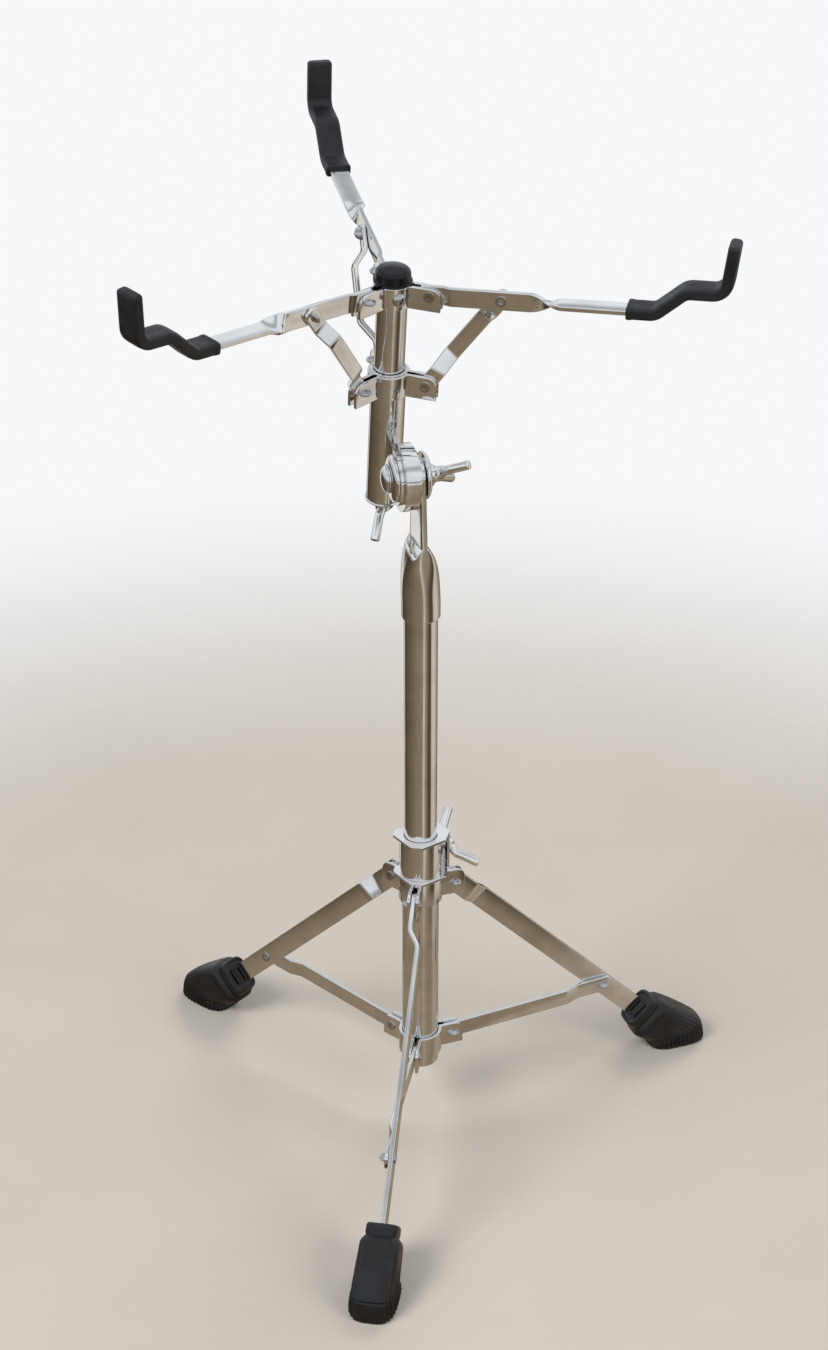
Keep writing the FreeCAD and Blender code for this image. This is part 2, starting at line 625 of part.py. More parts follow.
keep("bracket_ratchet", drum, tilted * spot(PLATE_RIGHT, rotation=ALONG_X))
washer, facing = dish(True)
keep("head_dish_washer", washer, tilted * spot(PLATE_LEFT, rotation=facing))
tongue = padded("YZ_Plane", [("0", "-bracket_disc_radius"), ("basket_back", "bracket_weld_bottom"),
                             ("basket_back", "bracket_weld_top"), ("0", "bracket_disc_radius")],
                "bracket_thickness", False)
tongue.Placement = spot(PLATE_LEFT)
disc = rod("bracket_disc_radius", "bracket_thickness", spot(PLATE_LEFT, rotation=ALONG_X))
bolt_hole = rod("tilter_bolt_radius + running_gap", "3 * bracket_thickness",
                spot(f"{PLATE_LEFT} - bracket_thickness", rotation=ALONG_X))
tube_seat = rod("outer_tube_od / 2", "outer_tube_top - outer_tube_bottom",
                spot("basket_side", "basket_back", "outer_tube_bottom"))
keep("tilter_bracket", cut(fuse(tongue, disc), bolt_hole, tube_seat), tilted)

# Basket outer tube with its slot, end plug and strut collar
slot_front = turned(Z, number("front_azimuth"))
slot = primitive("Box", spot("0", "-slot_width / 2", "slot_bottom"), Length="outer_tube_od", Width="slot_width",
                 Height="guide_height + slot_width / 2 - slot_bottom")
slot.Placement = slot_front * slot.Placement
keep("basket_outer_tube", cut(tube("outer_tube_od", "outer_tube_wall", "outer_tube_top - outer_tube_bottom",
                                   spot(z="outer_tube_bottom")), slot), basket)
collar = ear_hub("outer_tube_od", "0", "strut_collar_bottom", "strut_collar_height", "strut_pivot_radius",
                 STRUT_PIVOT, "strut_thickness", ARMS.values())
sight = rod("guide_radius", "outer_tube_od", slot_front * spot(z="guide_height", rotation=ALONG_X))
keep("strut_collar", cut(collar, sight), basket)
keep("strut_pivot_rivets", pivot_rivets("strut_thickness", "strut_pivot_radius", STRUT_PIVOT,
                                        ARMS.values(), True), basket)
plug = fuse(rod("plug_flange_radius", "plug_flange_height", spot(z="outer_tube_bottom - plug_flange_height")),
            rod(f"{OUTER_ID} / 2", "plug_depth", spot(z="outer_tube_bottom")))
plug_bore = rod("adjuster_radius + running_gap", "plug_depth + plug_flange_height + 2 * cut_overrun",
                spot(z="outer_tube_bottom - plug_flange_height - cut_overrun"))
keep("basket_end_plug", cut(plug, plug_bore), basket)
screw_head = "outer_tube_bottom - plug_flange_height - side_gap"
adjuster = wing("adjuster_radius", "-adjuster_top", f"-({screw_head})", "basket_wing_roll")
keep("adjuster_screw", adjuster, basket * turned(X, 180))

# Basket inner tube and what it carries
inner_tube = tube("inner_tube_od", "inner_tube_wall", "arm_hub_bottom + arm_hub_height - inner_tube_bottom",
                  spot(z="inner_tube_bottom"))
hub_screw_hole = rod("hub_screw_radius", "inner_tube_od",
                     slot_front * spot(z="hub_screw_height", rotation=ALONG_X))
guide_hole = rod("guide_radius", "inner_tube_od", slot_front * spot(z="guide_height", rotation=ALONG_X))
keep("basket_inner_tube", cut(inner_tube, hub_screw_hole, guide_hole), basket)
arm_hub = ear_hub("inner_tube_od", "0", "arm_hub_bottom", "arm_hub_height", "arm_pivot_radius",
                  ARM_PIVOT, "arm_thickness", ARMS.values())
hub_screw_hole = rod("hub_screw_radius", "inner_tube_od",
                     slot_front * spot(z="hub_screw_height", rotation=ALONG_X))
keep("arm_hub", cut(arm_hub, hub_screw_hole), basket)
hub_face = "(inner_tube_od / 2 + hub_wall)"
screw_shank = rod("hub_screw_radius", f"{hub_face} - {INNER_ID} / 2",
                  spot(f"{INNER_ID} / 2", "0", "hub_screw_height", ALONG_X))
screw_dome = primitive("Ellipsoid", spot(hub_face, "0", "hub_screw_height", ALONG_X),
                       Radius1="hub_screw_head_radius", Radius2="hub_screw_head_radius",
                       Radius3="hub_screw_head_height")
screw_dome.Angle1 = 0
keep("arm_hub_screw", fuse(screw_shank, screw_dome), basket * slot_front)
keep("arm_pivot_rivets", pivot_rivets("arm_thickness", "arm_pivot_radius", ARM_PIVOT,
                                      ARMS.values(), True), basket)
guide_reach = "(outer_tube_od / 2 - outer_tube_wall / 2)"
guide = cut(rod("guide_radius", f"{guide_reach} - {INNER_ID} / 2",
                spot(f"{INNER_ID} / 2", "0", "guide_height", ALONG_X)),
            rod("guide_radius / 2", "outer_tube_wall",
                spot(f"{guide_reach} - outer_tube_wall / 2", "0", "guide_height", ALONG_X)))
keep("guide_screw", guide, basket * slot_front)
hub_top = "(arm_hub_bottom + arm_hub_height)"
cap_wall = rod("cap_wall_radius", "cap_wall", spot(z=f"{hub_top} + cap_rim"))
cap_dome = primitive("Ellipsoid", spot(z=f"{hub_top} + cap_rim + cap_wall"), Radius1="cap_dome_radius",
                     Radius2="cap_dome_radius", Radius3="cap_dome")
cap_dome.Angle1 = 0
cap_stub = rod(f"{INNER_ID} / 2", "plug_depth", spot(z=f"{hub_top} - plug_depth"))
cap_flange = rod("cap_radius", "cap_rim", spot(z=hub_top))
keep("top_cap", fuse(cap_flange, cap_wall, cap_dome, cap_stub), basket)
nut = cut(rod(f"{INNER_ID} / 2", "adjuster_nut_height", spot(z="inner_tube_bottom")),
          rod("adjuster_radius + running_gap", "adjuster_nut_height + 2 * cut_overrun",
              spot(z="inner_tube_bottom - cut_overrun")))
keep("adjuster_nut", nut, basket)

# Arms: on edge at the hub, twisted flat, then stepped up and turned up in a rubber sleeve
arm_line = [("-arm_head", "0"), ("arm_jog_start", "0"), ("arm_jog_start + arm_jog_run", "-arm_jog"),
            ("arm_twist_start", "-arm_jog")]
twist_end = "(arm_twist_start + arm_twist_run)"
shelf_from = "(arm_step_start + arm_step_run)"
shelf_to = f"({shelf_from} + arm_shelf)"


def bent_strip(start, thickness, width, extra):
    """A flat strip along X that follows the arm's rise, built from its side outline."""
    half = f"({thickness} / 2)"
    step = "(sqrt(arm_step_run ^ 2 + arm_step_rise ^ 2) - arm_step_run) / arm_step_rise"
    turn = "(sqrt(arm_lean ^ 2 + arm_upright ^ 2) - arm_lean) / arm_upright"
    tip = f"{extra} / sqrt(arm_lean ^ 2 + arm_upright ^ 2)"
    tip_x = f"{shelf_to} + arm_lean * (1 + {tip})"
    tip_z = f"arm_step_rise + arm_upright * (1 + {tip})"
    lean_x = f"{half} * arm_upright / sqrt(arm_lean ^ 2 + arm_upright ^ 2)"
    lean_z = f"{half} * arm_lean / sqrt(arm_lean ^ 2 + arm_upright ^ 2)"
    low = [(start, f"-{half}"), (f"arm_step_start + {half} * {step}", f"-{half}"),
           (f"{shelf_from} + {half} * {step}", f"arm_step_rise - {half}"),
           (f"{shelf_to} + {half} * {turn}", f"arm_step_rise - {half}"),
           (f"{tip_x} + {lean_x}", f"{tip_z} - {lean_z}")]
    high = [(f"{tip_x} - {lean_x}", f"{tip_z} + {lean_z}"),
            (f"{shelf_to} - {half} * {turn}", f"arm_step_rise + {half}"),
            (f"{shelf_from} - {half} * {step}", f"arm_step_rise + {half}"),
            (f"arm_step_start - {half} * {step}", half), (start, half)]
    return padded("XZ_Plane", low + high, width)


def twist(start, run):
    """A quarter turn of the bar about its own length."""
    sections = []
    for step in range(TWIST_STEPS + 1):
        share = step / TWIST_STEPS
        section = doc.addObject("Part::Plane", "section")
        section.setExpression("Length", bound("arm_width"))
        section.setExpression("Width", bound("arm_thickness"))
        place = spot(f"{start} + {run} * {share}", "-arm_jog") * turned(X, 90 - 90 * share)
        corner = spot("0", "-arm_width / 2", "-arm_thickness / 2")
        section.Placement = place * corner * turned(X + Y + Z, 120)
        sections.append(section)
    return loft(sections, True)


strut_angle = math.degrees(math.atan2(number(STRUT_RISE), number(STRUT_RUN)))
top_jog = f"({STRUT_LENGTH} - strut_top_jog_before)"
strut_line = [("-strut_head", "0"), ("strut_low_jog_start", "0"),
              ("strut_low_jog_start + strut_low_jog_run", "strut_bow"), (top_jog, "strut_bow"),
              (f"{top_jog} + strut_top_jog_run", STRUT_TOP), (f"{STRUT_LENGTH} + strut_head", STRUT_TOP)]
for side, azimuth in ARMS.items():
    spoke = basket * turned(Z, azimuth)
    arm_place = spoke * spot("arm_pivot_radius", "0", ARM_PIVOT) * turned(Y, -number("arm_elevation"))
    edge_bar = flat_bar(arm_line, "arm_thickness", "arm_width", "running_gap")
    strip = bent_strip(twist_end, "arm_thickness", "arm_width", "0")
    strip.Placement = spot(y="-arm_jog")
    pivot_hole = rod("rivet_radius + running_gap", "2 * arm_width", spot(y="-arm_width", rotation=ALONG_Y))
    rivet_hole = rod("rivet_radius", "2 * arm_width",
                     spot("strut_rivet_distance", "-arm_width", rotation=ALONG_Y))
    keep(f"arm_{side}", cut(fuse(edge_bar, twist("arm_twist_start", "arm_twist_run"), strip),
                            pivot_hole, rivet_hole), arm_place)
    rubber = bent_strip("sleeve_start", "sleeve_thickness", "sleeve_width", "sleeve_end_wall")
    rubber.Placement = spot(y="-arm_jog")
    core = bent_strip("sleeve_start - cut_overrun", "arm_thickness", "arm_width", "0")
    core.Placement = spot(y="-arm_jog")
    keep(f"arm_sleeve_{side}", cut(rubber, core), arm_place)
    cw_face = "(-arm_jog - arm_thickness / 2)"
    half_shank = rod("rivet_radius", "arm_thickness", spot("strut_rivet_distance", cw_face, rotation=ALONG_Y))
    flipped = spot("strut_rivet_distance") * turned(X, 180)
    keep(f"strut_rivet_tail_{side}", fuse(half_shank, rivet_tail(f"-{cw_face}", flipped)), arm_place)

    strut_place = spoke * spot("strut_pivot_radius", "0", STRUT_PIVOT) * turned(Y, -strut_angle)
    bar = flat_bar(strut_line, "strut_thickness", "strut_width", "strut_width * bar_round_share")
    pivot_hole = rod("rivet_radius + running_gap", "4 * strut_width", spot(y="-2 * strut_width", rotation=ALONG_Y))
    rivet_hole = rod("rivet_radius", "4 * strut_width",
                     spot(STRUT_LENGTH, "-2 * strut_width", rotation=ALONG_Y))
    keep(f"strut_{side}", cut(bar, pivot_hole, rivet_hole), strut_place)
    inner_face = f"({STRUT_TOP} - strut_thickness / 2)"
    outer_face = f"({STRUT_TOP} + strut_thickness / 2)"
    half_shank = rod("rivet_radius", "strut_thickness", spot(STRUT_LENGTH, inner_face, rotation=ALONG_Y))
    flipped = spot(STRUT_LENGTH) * turned(X, 180)
    keep(f"strut_rivet_head_{side}", fuse(half_shank, rivet_head(f"-{outer_face}", flipped)), strut_place)

doc.recompute()
faults = [o.Label for o in doc.Objects if "Invalid" in o.State or "Error" in o.State]
faults += [p.Label for p in parts if p.Shape.isNull() or not p.Shape.isValid() or not p.Shape.Solids]
if faults:
    raise RuntimeError(f"these did not build: {faults}")
os.makedirs("parts", exist_ok=True)
for part in parts:
    part.Shape.exportStep(f"parts/{part.Label}.step")
print(len(parts), "sub-parts written")
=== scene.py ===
import json
import math

import bmesh
import bpy
from mathutils import Matrix, Vector


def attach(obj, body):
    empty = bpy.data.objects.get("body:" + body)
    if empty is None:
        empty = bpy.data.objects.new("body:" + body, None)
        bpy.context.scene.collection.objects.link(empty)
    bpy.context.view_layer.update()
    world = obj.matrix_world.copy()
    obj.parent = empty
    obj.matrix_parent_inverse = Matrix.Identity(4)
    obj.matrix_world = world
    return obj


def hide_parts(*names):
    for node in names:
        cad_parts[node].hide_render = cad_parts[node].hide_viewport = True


# The looks of a folding snare drum stand. Pieces are drawn in millimetres in the frame of the
# joint that carries them, and brought to metres when they become meshes.

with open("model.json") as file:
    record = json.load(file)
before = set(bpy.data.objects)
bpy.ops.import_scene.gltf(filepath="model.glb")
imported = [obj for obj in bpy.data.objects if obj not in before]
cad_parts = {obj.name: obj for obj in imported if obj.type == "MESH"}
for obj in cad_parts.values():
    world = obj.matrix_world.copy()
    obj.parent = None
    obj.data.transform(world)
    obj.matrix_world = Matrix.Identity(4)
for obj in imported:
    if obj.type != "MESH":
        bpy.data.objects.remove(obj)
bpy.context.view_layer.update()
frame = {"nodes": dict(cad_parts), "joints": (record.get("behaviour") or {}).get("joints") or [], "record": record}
joints = {j["name"]: j for j in frame["joints"]}
MM = 0.001
X, Y, Z = Vector((1, 0, 0)), Vector((0, 1, 0)), Vector((0, 0, 1))
LEGS = ("front", "right", "left")
ARMS = ("right", "rear", "left")
# The radius of a turned shape where its outline meets its axis
AXIS = 0.01

# Flat bars, their edges eased and their ends rounded
EDGE = 0.55
LEG = {"thickness": 3.0, "width": 15.0, "head": 7.0, "jog": 6.6, "jog_start": 19.0, "jog_run": 10.0,
       "angle": 45.0, "rivet": 169.4, "end": 242.0, "bend": 9.0, "round": 5.4}
BRACE = {"thickness": 2.5, "width": 12.0, "head": 6.0, "tail": 7.0, "jog": 3.55, "jog_before": 30.0,
         "jog_run": 9.0, "bend": 7.0, "round": 4.3}
STRUT = {"thickness": 2.5, "width": 10.0, "head": 5.5, "bow": 9.0, "low_start": 12.0, "low_run": 12.0,
         "top": 1.45, "top_before": 20.0, "top_run": 9.0, "bend": 6.0, "round": 3.6}
ARM = {"thickness": 3.0, "width": 12.0, "head": 6.0, "jog": 1.6, "jog_start": 8.5, "jog_run": 4.0,
       "elevation": 5.7, "rivet": 44.1, "twist_start": 60.0, "twist_run": 22.0, "twist_steps": 14,
       "step_start": 137.0, "step_run": 18.0, "step_rise": 15.0, "shelf": 23.0, "upright": 28.0, "lean": 4.0,
       "bend": 9.0, "round": 1.0}


def pivot(name):
    """Where a joint turns, and its axis."""
    return Vector(joints[name]["pos_m"]), Vector(joints[name]["axis"])


def axes(origin, x, y):
    """A frame at origin with X and Y along the two directions."""
    matrix = Matrix((x, y, x.cross(y))).transposed().to_4x4()
    matrix.translation = origin
    return matrix


def raised(place, height):
    """A frame moved up its own Z."""
    return place @ Matrix.Translation(Z * height * MM)


def progress(value, start, end):
    """How far a value has come from start to end, as a share."""
    return min(1, max(0, (value - start) / (end - start)))


def eased(share):
    """A share that starts and ends gently."""
    return share * share * (3 - 2 * share)


COLUMN = pivot("mast_swivel")[0]
TILTER, ACROSS = pivot("basket_tilt")
BASKET, RISE = pivot("adjuster_turn")
upright_frame = Matrix.Translation(COLUMN)
mast_frame = axes(COLUMN, ACROSS, Z.cross(ACROSS))
basket_frame = axes(BASKET, ACROSS, RISE.cross(ACROSS))
tilter_frame = axes(TILTER, ACROSS, Z.cross(ACROSS))


# Node tools

def node(tree, kind, **inputs):
    """A node with some of its inputs set, underscores in their names standing for spaces."""
    item = tree.nodes.new(kind)
    for name, value in inputs.items():
        item.inputs[name.replace("_", " ")].default_value = value
    return item


def wired(tree, source, socket):
    """Links a socket to an output, or sets it to a value."""
    if isinstance(source, bpy.types.NodeSocket):
        tree.links.new(source, socket)
    else:
        socket.default_value = source


def mixed(tree, factor, a, b, blend="MIX"):
    """Colour a with colour b mixed in by the factor."""
    item = tree.nodes.new("ShaderNodeMix")
    item.data_type = "RGBA"
    item.blend_type = blend
    for name, source in (("Factor", factor), ("A", a), ("B", b)):
        wired(tree, source, item.inputs[name])
    return item.outputs["Result"]


def mixed_shader(tree, factor, first, second):
    """The first shader with the second mixed in by the factor."""
    item = tree.nodes.new("ShaderNodeMixShader")
    for source, socket in zip((factor, first, second), item.inputs):
        tree.links.new(source, socket)
    return item.outputs["Shader"]


def calculated(tree, operation, first, second):
    item = tree.nodes.new("ShaderNodeMath")
    item.operation = operation
    tree.links.new(first, item.inputs[0])
    tree.links.new(second, item.inputs[1])
    return item.outputs[0]


def rescaled(tree, value, interpolation="LINEAR", **inputs):
    """The value's place in a range, brought to another range or else to 0 to 1."""
    item = node(tree, "ShaderNodeMapRange", **inputs)
    item.interpolation_type = interpolation
    tree.links.new(value, item.inputs["Value"])
    return item.outputs["Result"]


def noise(tree, coordinates, scale, detail, stretch=(1, 1, 1)):
    """A noise of so many grains a metre, drawn out by stretch."""
    mapping = node(tree, "ShaderNodeMapping", Scale=stretch)
    tree.links.new(coordinates, mapping.inputs["Vector"])
    grain = node(tree, "ShaderNodeTexNoise", Scale=scale, Detail=detail, Roughness=0.6)
    tree.links.new(mapping.outputs["Vector"], grain.inputs["Vector"])
    return grain.outputs["Fac"]


def stepped(tree, factor, stops):
    """A ramp of the factor through (position, colour) stops."""
    item = tree.nodes.new("ShaderNodeValToRGB")
    elements = item.color_ramp.elements
    while len(elements) < len(stops):
        elements.new(0.5)
    for element, (position, colour) in zip(elements, stops):
        element.position = position
        element.color = colour
    tree.links.new(factor, item.inputs["Fac"])
    return item.outputs["Color"]


def ramp(tree, factor, low, high, start=0.3, end=0.7):
    """Runs from colour or value low to high as the factor goes from start to end."""
    low, high = (c if isinstance(c, tuple) else (c, c, c, 1) for c in (low, high))
    return stepped(tree, factor, ((start, low), (end, high)))


def banded(tree, factor, stops, tint, fading=0):
    """A ramp through (position, tone) stops, tinted, and less so towards white where the tint is fading."""
    return stepped(tree, factor, [(position, (*(tone * t ** (1 - tone * fading) for t in tint), 1))
                                  for position, tone in stops])


def shader(name):
    """A new material, its nodes, its surface and the coordinates of the object."""
    material = bpy.data.materials.new(name)
    material.use_nodes = True
    tree = material.node_tree
    surface = tree.nodes["Principled BSDF"]
    coordinates = tree.nodes.new("ShaderNodeTexCoord").outputs["Object"]
    return material, tree, surface, coordinates


def bump(tree, surface, height, strength, distance):
    item = node(tree, "ShaderNodeBump", Strength=strength, Distance=distance)
    tree.links.new(height, item.inputs["Height"])
    tree.links.new(item.outputs["Normal"], surface.inputs["Normal"])


# Materials: tint, least and most roughness, and how the fine lines are drawn out
CHROMES = {
    "chrome_tube": ((0.79, 0.78, 0.77), 0.035, 0.12, (1, 1, 0.05)),
    "chrome_bar": ((0.80, 0.795, 0.79), 0.045, 0.14, (0.3, 0.3, 0.3)),
    "chrome_pressing": ((0.80, 0.79, 0.785), 0.04, 0.13),
    "chrome_casting": ((0.81, 0.805, 0.80), 0.05, 0.16),
    "rivet_steel": ((0.50, 0.50, 0.51), 0.12, 0.26),
    "zinc_steel": ((0.52, 0.52, 0.51), 0.22, 0.40),
}
CHROME = {"haze": 0.86, "haze_grain": 38, "haze_range": (0.36, 0.56), "smear_grain": 24,
          "smear_range": (0.42, 0.72), "line_grain": 900, "line_share": 0.5, "line_bump": 0.035,
          "line_height": 0.0002}
# Dark and light tone, grains a metre, least roughness and shine
RUBBERS = {
    "foot_rubber": ((0.005, 0.005, 0.006), (0.013, 0.014, 0.017), 900, 0.26, 0.42),
    "sleeve_rubber": ((0.006, 0.006, 0.007), (0.016, 0.017, 0.020), 1200, 0.36, 0.45),
    "cap_plastic": ((0.004, 0.004, 0.005), (0.008, 0.008, 0.010), 700, 0.12, 0.3),
    "bush_nylon": ((0.05, 0.05, 0.05), (0.10, 0.10, 0.10), 500, 0.40, 0.45),
}
RUBBER = {"mottle_grain": 60, "mottle_range": (0.38, 0.74), "bloom_grain": 140, "bloom": 0.22,
          "grain_bump": 0.22, "grain_height": 0.0004}


def chrome(name, tint, smooth, rough, drawn=(1, 1, 1)):
    """Bright plate with a breath of haze, handling smears and fine lines along the way it was drawn."""
    material, tree, surface, place = shader(name)
    surface.inputs["Metallic"].default_value = 1
    hazy = tuple(c * CHROME["haze"] for c in tint)
    haze = noise(tree, place, CHROME["haze_grain"], detail=5)
    plate = ramp(tree, haze, (*hazy, 1), (*tint, 1), *CHROME["haze_range"])
    tree.links.new(plate, surface.inputs["Base Color"])
    smear = noise(tree, place, CHROME["smear_grain"], detail=6)
    smears = ramp(tree, smear, smooth, rough, *CHROME["smear_range"])
    lines = noise(tree, place, CHROME["line_grain"], detail=2, stretch=drawn)
    worn = mixed(tree, CHROME["line_share"], smears, lines, "OVERLAY")
    tree.links.new(worn, surface.inputs["Roughness"])
    bump(tree, surface, lines, CHROME["line_bump"], CHROME["line_height"])
    return material


def rubber(name, dark, light, grain, gloss, shine):
    """Black moulding, mottled, with a duller bloom in patches and a fine grain."""
    material, tree, surface, place = shader(name)
    mottle = noise(tree, place, RUBBER["mottle_grain"], detail=8)
    tone = ramp(tree, mottle, (*dark, 1), (*light, 1), *RUBBER["mottle_range"])
    tree.links.new(tone, surface.inputs["Base Color"])
    bloom = noise(tree, place, RUBBER["bloom_grain"], detail=6)
    tree.links.new(ramp(tree, bloom, gloss, gloss + RUBBER["bloom"]), surface.inputs["Roughness"])
    surface.inputs["Specular IOR Level"].default_value = shine
    pores = noise(tree, place, grain, detail=4)
    bump(tree, surface, pores, RUBBER["grain_bump"], RUBBER["grain_height"])
    return material


materials = {name: chrome(name, *look) for name, look in CHROMES.items()}
materials.update({name: rubber(name, *look) for name, look in RUBBERS.items()})


# Mesh tools
# Edges that turn by more degrees than this stay sharp
SHARP_FROM = 32
# How much of a straight run a bend at one end of it may take up
BEND_ROOM = 0.48
DOME_STEPS = 9


def shaded(mesh):
    mesh.shade_smooth()
    mesh.set_sharp_from_angle(angle=math.radians(SHARP_FROM))


def piece(name, mesh, body, slot, nodes):
    """A finished mesh as a piece that rides on a body and stands for CAD nodes."""
    item = bpy.data.objects.new(name, mesh)
    bpy.context.scene.collection.objects.link(item)
    mesh.materials.append(materials[slot])
    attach(item, body)
    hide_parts(*nodes)


def pierced(build, rim, pockets, sink):
    """Fills a flat rim but for some pockets, which sink below it."""
    mouths = [[build.verts.new(p) for p in pocket] for pocket in pockets]
    edges = []
    for loop in [rim] + mouths:
        for a, b in zip(loop, loop[1:] + loop[:1]):
            edges.append(build.edges.get((a, b)) or build.edges.new((a, b)))
    bmesh.ops.triangle_fill(build, use_beauty=True, use_dissolve=False, edges=edges)
    for mouth in mouths:
        floor = [build.verts.new(corner.co + sink) for corner in mouth]
        for i, corner in enumerate(mouth):
            following = (i + 1) % len(mouth)
            build.faces.new((corner, mouth[following], floor[following], floor[i]))
        build.faces.new(floor)


def walled(build, rings, closed=False):
    """Joins each ring to the next with faces, and the last to the first where the run is closed."""
    rows = [[build.verts.new(p) for p in ring] for ring in rings]
    for low, high in zip(rows, rows[1:] + rows[:1] if closed else rows[1:]):
        for i, corner in enumerate(low):
            following = (i + 1) % len(low)
            build.faces.new((corner, low[following], high[following], high[i]))
    return rows


def skin(name, strands, place, hoops=(), pockets=(), sink=None):
    """A mesh of strands, each a run of rings with as many points each and capped ends, and of closed hoops.

    Pockets sink into each strand's first cap.
    """
    build = bmesh.new()
    for rings in strands:
        rows = walled(build, rings)
        if pockets:
            pierced(build, rows[0], pockets, sink)
        else:
            build.faces.new(rows[0])
        build.faces.new(rows[-1])
    for rings in hoops:
        walled(build, rings, closed=True)
    bmesh.ops.recalc_face_normals(build, faces=build.faces)
    mesh = bpy.data.meshes.new(name)
    build.to_mesh(mesh)
    build.free()
    mesh.transform(place @ Matrix.Scale(MM, 4))
    shaded(mesh)
    return mesh


def drilled(mesh, drill):
    """The mesh with a hole where the drill goes through it."""
    blank, tool = bpy.data.objects.new("blank", mesh), bpy.data.objects.new("drill", drill)
    for item in (blank, tool):
        bpy.context.scene.collection.objects.link(item)
    cut = blank.modifiers.new("cut", "BOOLEAN")
    cut.object = tool
    cut.use_self = True
    result = bpy.data.meshes.new_from_object(blank.evaluated_get(bpy.context.evaluated_depsgraph_get()))
    for item in (blank, tool):
        bpy.data.objects.remove(item)
    shaded(result)
    return result


def lathe(profile, along=Z, steps=72):
    """Rings of a turned shape from (radius, height) points."""
    turn = Z.rotation_difference(along)
    angles = [math.tau * i / steps for i in range(steps)]
    return [[turn @ Vector((r * math.cos(a), r * math.sin(a), h)) for a in angles] for r, h in profile]


def quarter(radius, height, start_radius, start_height, steps):
    """Points of a quarter round, from its foot up and inwards by radius and height."""
    angles = [math.radians(90 * i / steps) for i in range(steps + 1)]
    return [(start_radius - radius * (1 - math.cos(a)), start_height + height * math.sin(a)) for a in angles]


def squarish(along, across, depth, width, points, squareness):
    """A rounded square ring in the plane of two directions."""
    ring = []
    for i in range(points):
        a = math.tau * i / points
        c, s = math.cos(a), math.sin(a)
        grow = (abs(c) ** squareness + abs(s) ** squareness) ** (-1 / squareness)
        ring.append(along * (depth / 2 * c * grow) + across * (width / 2 * s * grow))
    return ring


def rounded_rectangle(low, high, half, corner, steps=3):
    """The corners of a section from low to high one way and half each way the other."""
    centres = ((high - corner, half - corner), (low + corner, half - corner),
               (low + corner, corner - half), (high - corner, corner - half))
    points = []
    for quadrant, (u, v) in enumerate(centres):
        for i in range(steps + 1):
            a = math.radians(90 * (quadrant + i / steps))
            points.append((u + corner * math.cos(a), v + corner * math.sin(a)))
    return points


def bent(points, radius, steps=7):
    """The line through the points with its corners rounded, as (place, heading) pairs."""
    points = [Vector(p) for p in points]
    line = [(points[0], (points[1] - points[0]).normalized())]
    for before, corner, after in zip(points, points[1:], points[2:]):
        first, second = (corner - before).normalized(), (after - corner).normalized()
        turn = first.angle(second)
        room = BEND_ROOM * min((corner - before).length, (after - corner).length)
        reach = min(radius * math.tan(turn / 2), room)
        bend = reach / math.tan(turn / 2)
        inward = (second - first * first.dot(second)).normalized()
        for i in range(steps + 1):
            a = turn * i / steps
            spot = corner - first * reach + bend * (first * math.sin(a) + inward * (1 - math.cos(a)))
            line.append((spot, first * math.cos(a) + inward * math.sin(a)))
    line.append((points[-1], (points[-1] - points[-2]).normalized()))
    return line


def measured(line):
    """The line's stations with the distance run so far in front."""
    run, rows, last = 0.0, [], line[0][0]
    for place, heading in line:
        run += (place - last).length
        rows.append((run, place, heading))
        last = place
    return rows


def run_of(line):
    """The whole length of a line."""
    return measured(line)[-1][0]


def stations(line, extra):
    """The measured line with stations added at extra distances along it, and its length."""
    rows = measured(line)
    total = rows[-1][0]
    for distance in extra:
        if not 0 < distance < total:
            continue
        index = next(i for i, row in enumerate(rows) if row[0] > distance)
        (start, a, heading), (stop, b, onward) = rows[index - 1], rows[index]
        share = (distance - start) / (stop - start)
        rows.insert(index, (distance, a.lerp(b, share), heading.lerp(onward, share).normalized()))
    return rows, total


def crosswise(heading):
    """The two directions across a heading, the first as near to Y as it can be."""
    side = (Y - heading * heading.y).normalized()
    return side, heading.cross(side)


def end_trim(distance, total, radius):
    """How much narrower each side is near a bar's rounded end."""
    inside = min(distance, total - distance)
    if inside >= radius:
        return 0.0
    return radius - math.sqrt(radius ** 2 - (radius - inside) ** 2)


def end_marks(total, radius, steps=6):
    """Where a bar's rounded ends need stations."""
    marks = [radius * (1 - math.cos(math.radians(90 * i / steps))) for i in range(1, steps + 1)]
    return marks + [total - m for m in marks]


def bar_rings(points, size):
    """A bar on edge, bent sideways, with round ends."""
    line = bent(points, size["bend"])
    rows, total = stations(line, end_marks(run_of(line), size["round"]))
    rings = []
    for distance, place, heading in rows:
        side = Z.cross(heading)
        half = size["width"] / 2 - end_trim(distance, total, size["round"])
        section = rounded_rectangle(-half, half, size["thickness"] / 2, EDGE)
        rings.append([place + Z * u + side * v for u, v in section])
    return rings


# Legs and braces
LEAN = math.radians(LEG["angle"])


def down_leg(spoke):
    """The way a leg runs from its pivot, out along its spoke and down."""
    return spoke * math.sin(LEAN) - Z * math.cos(LEAN)


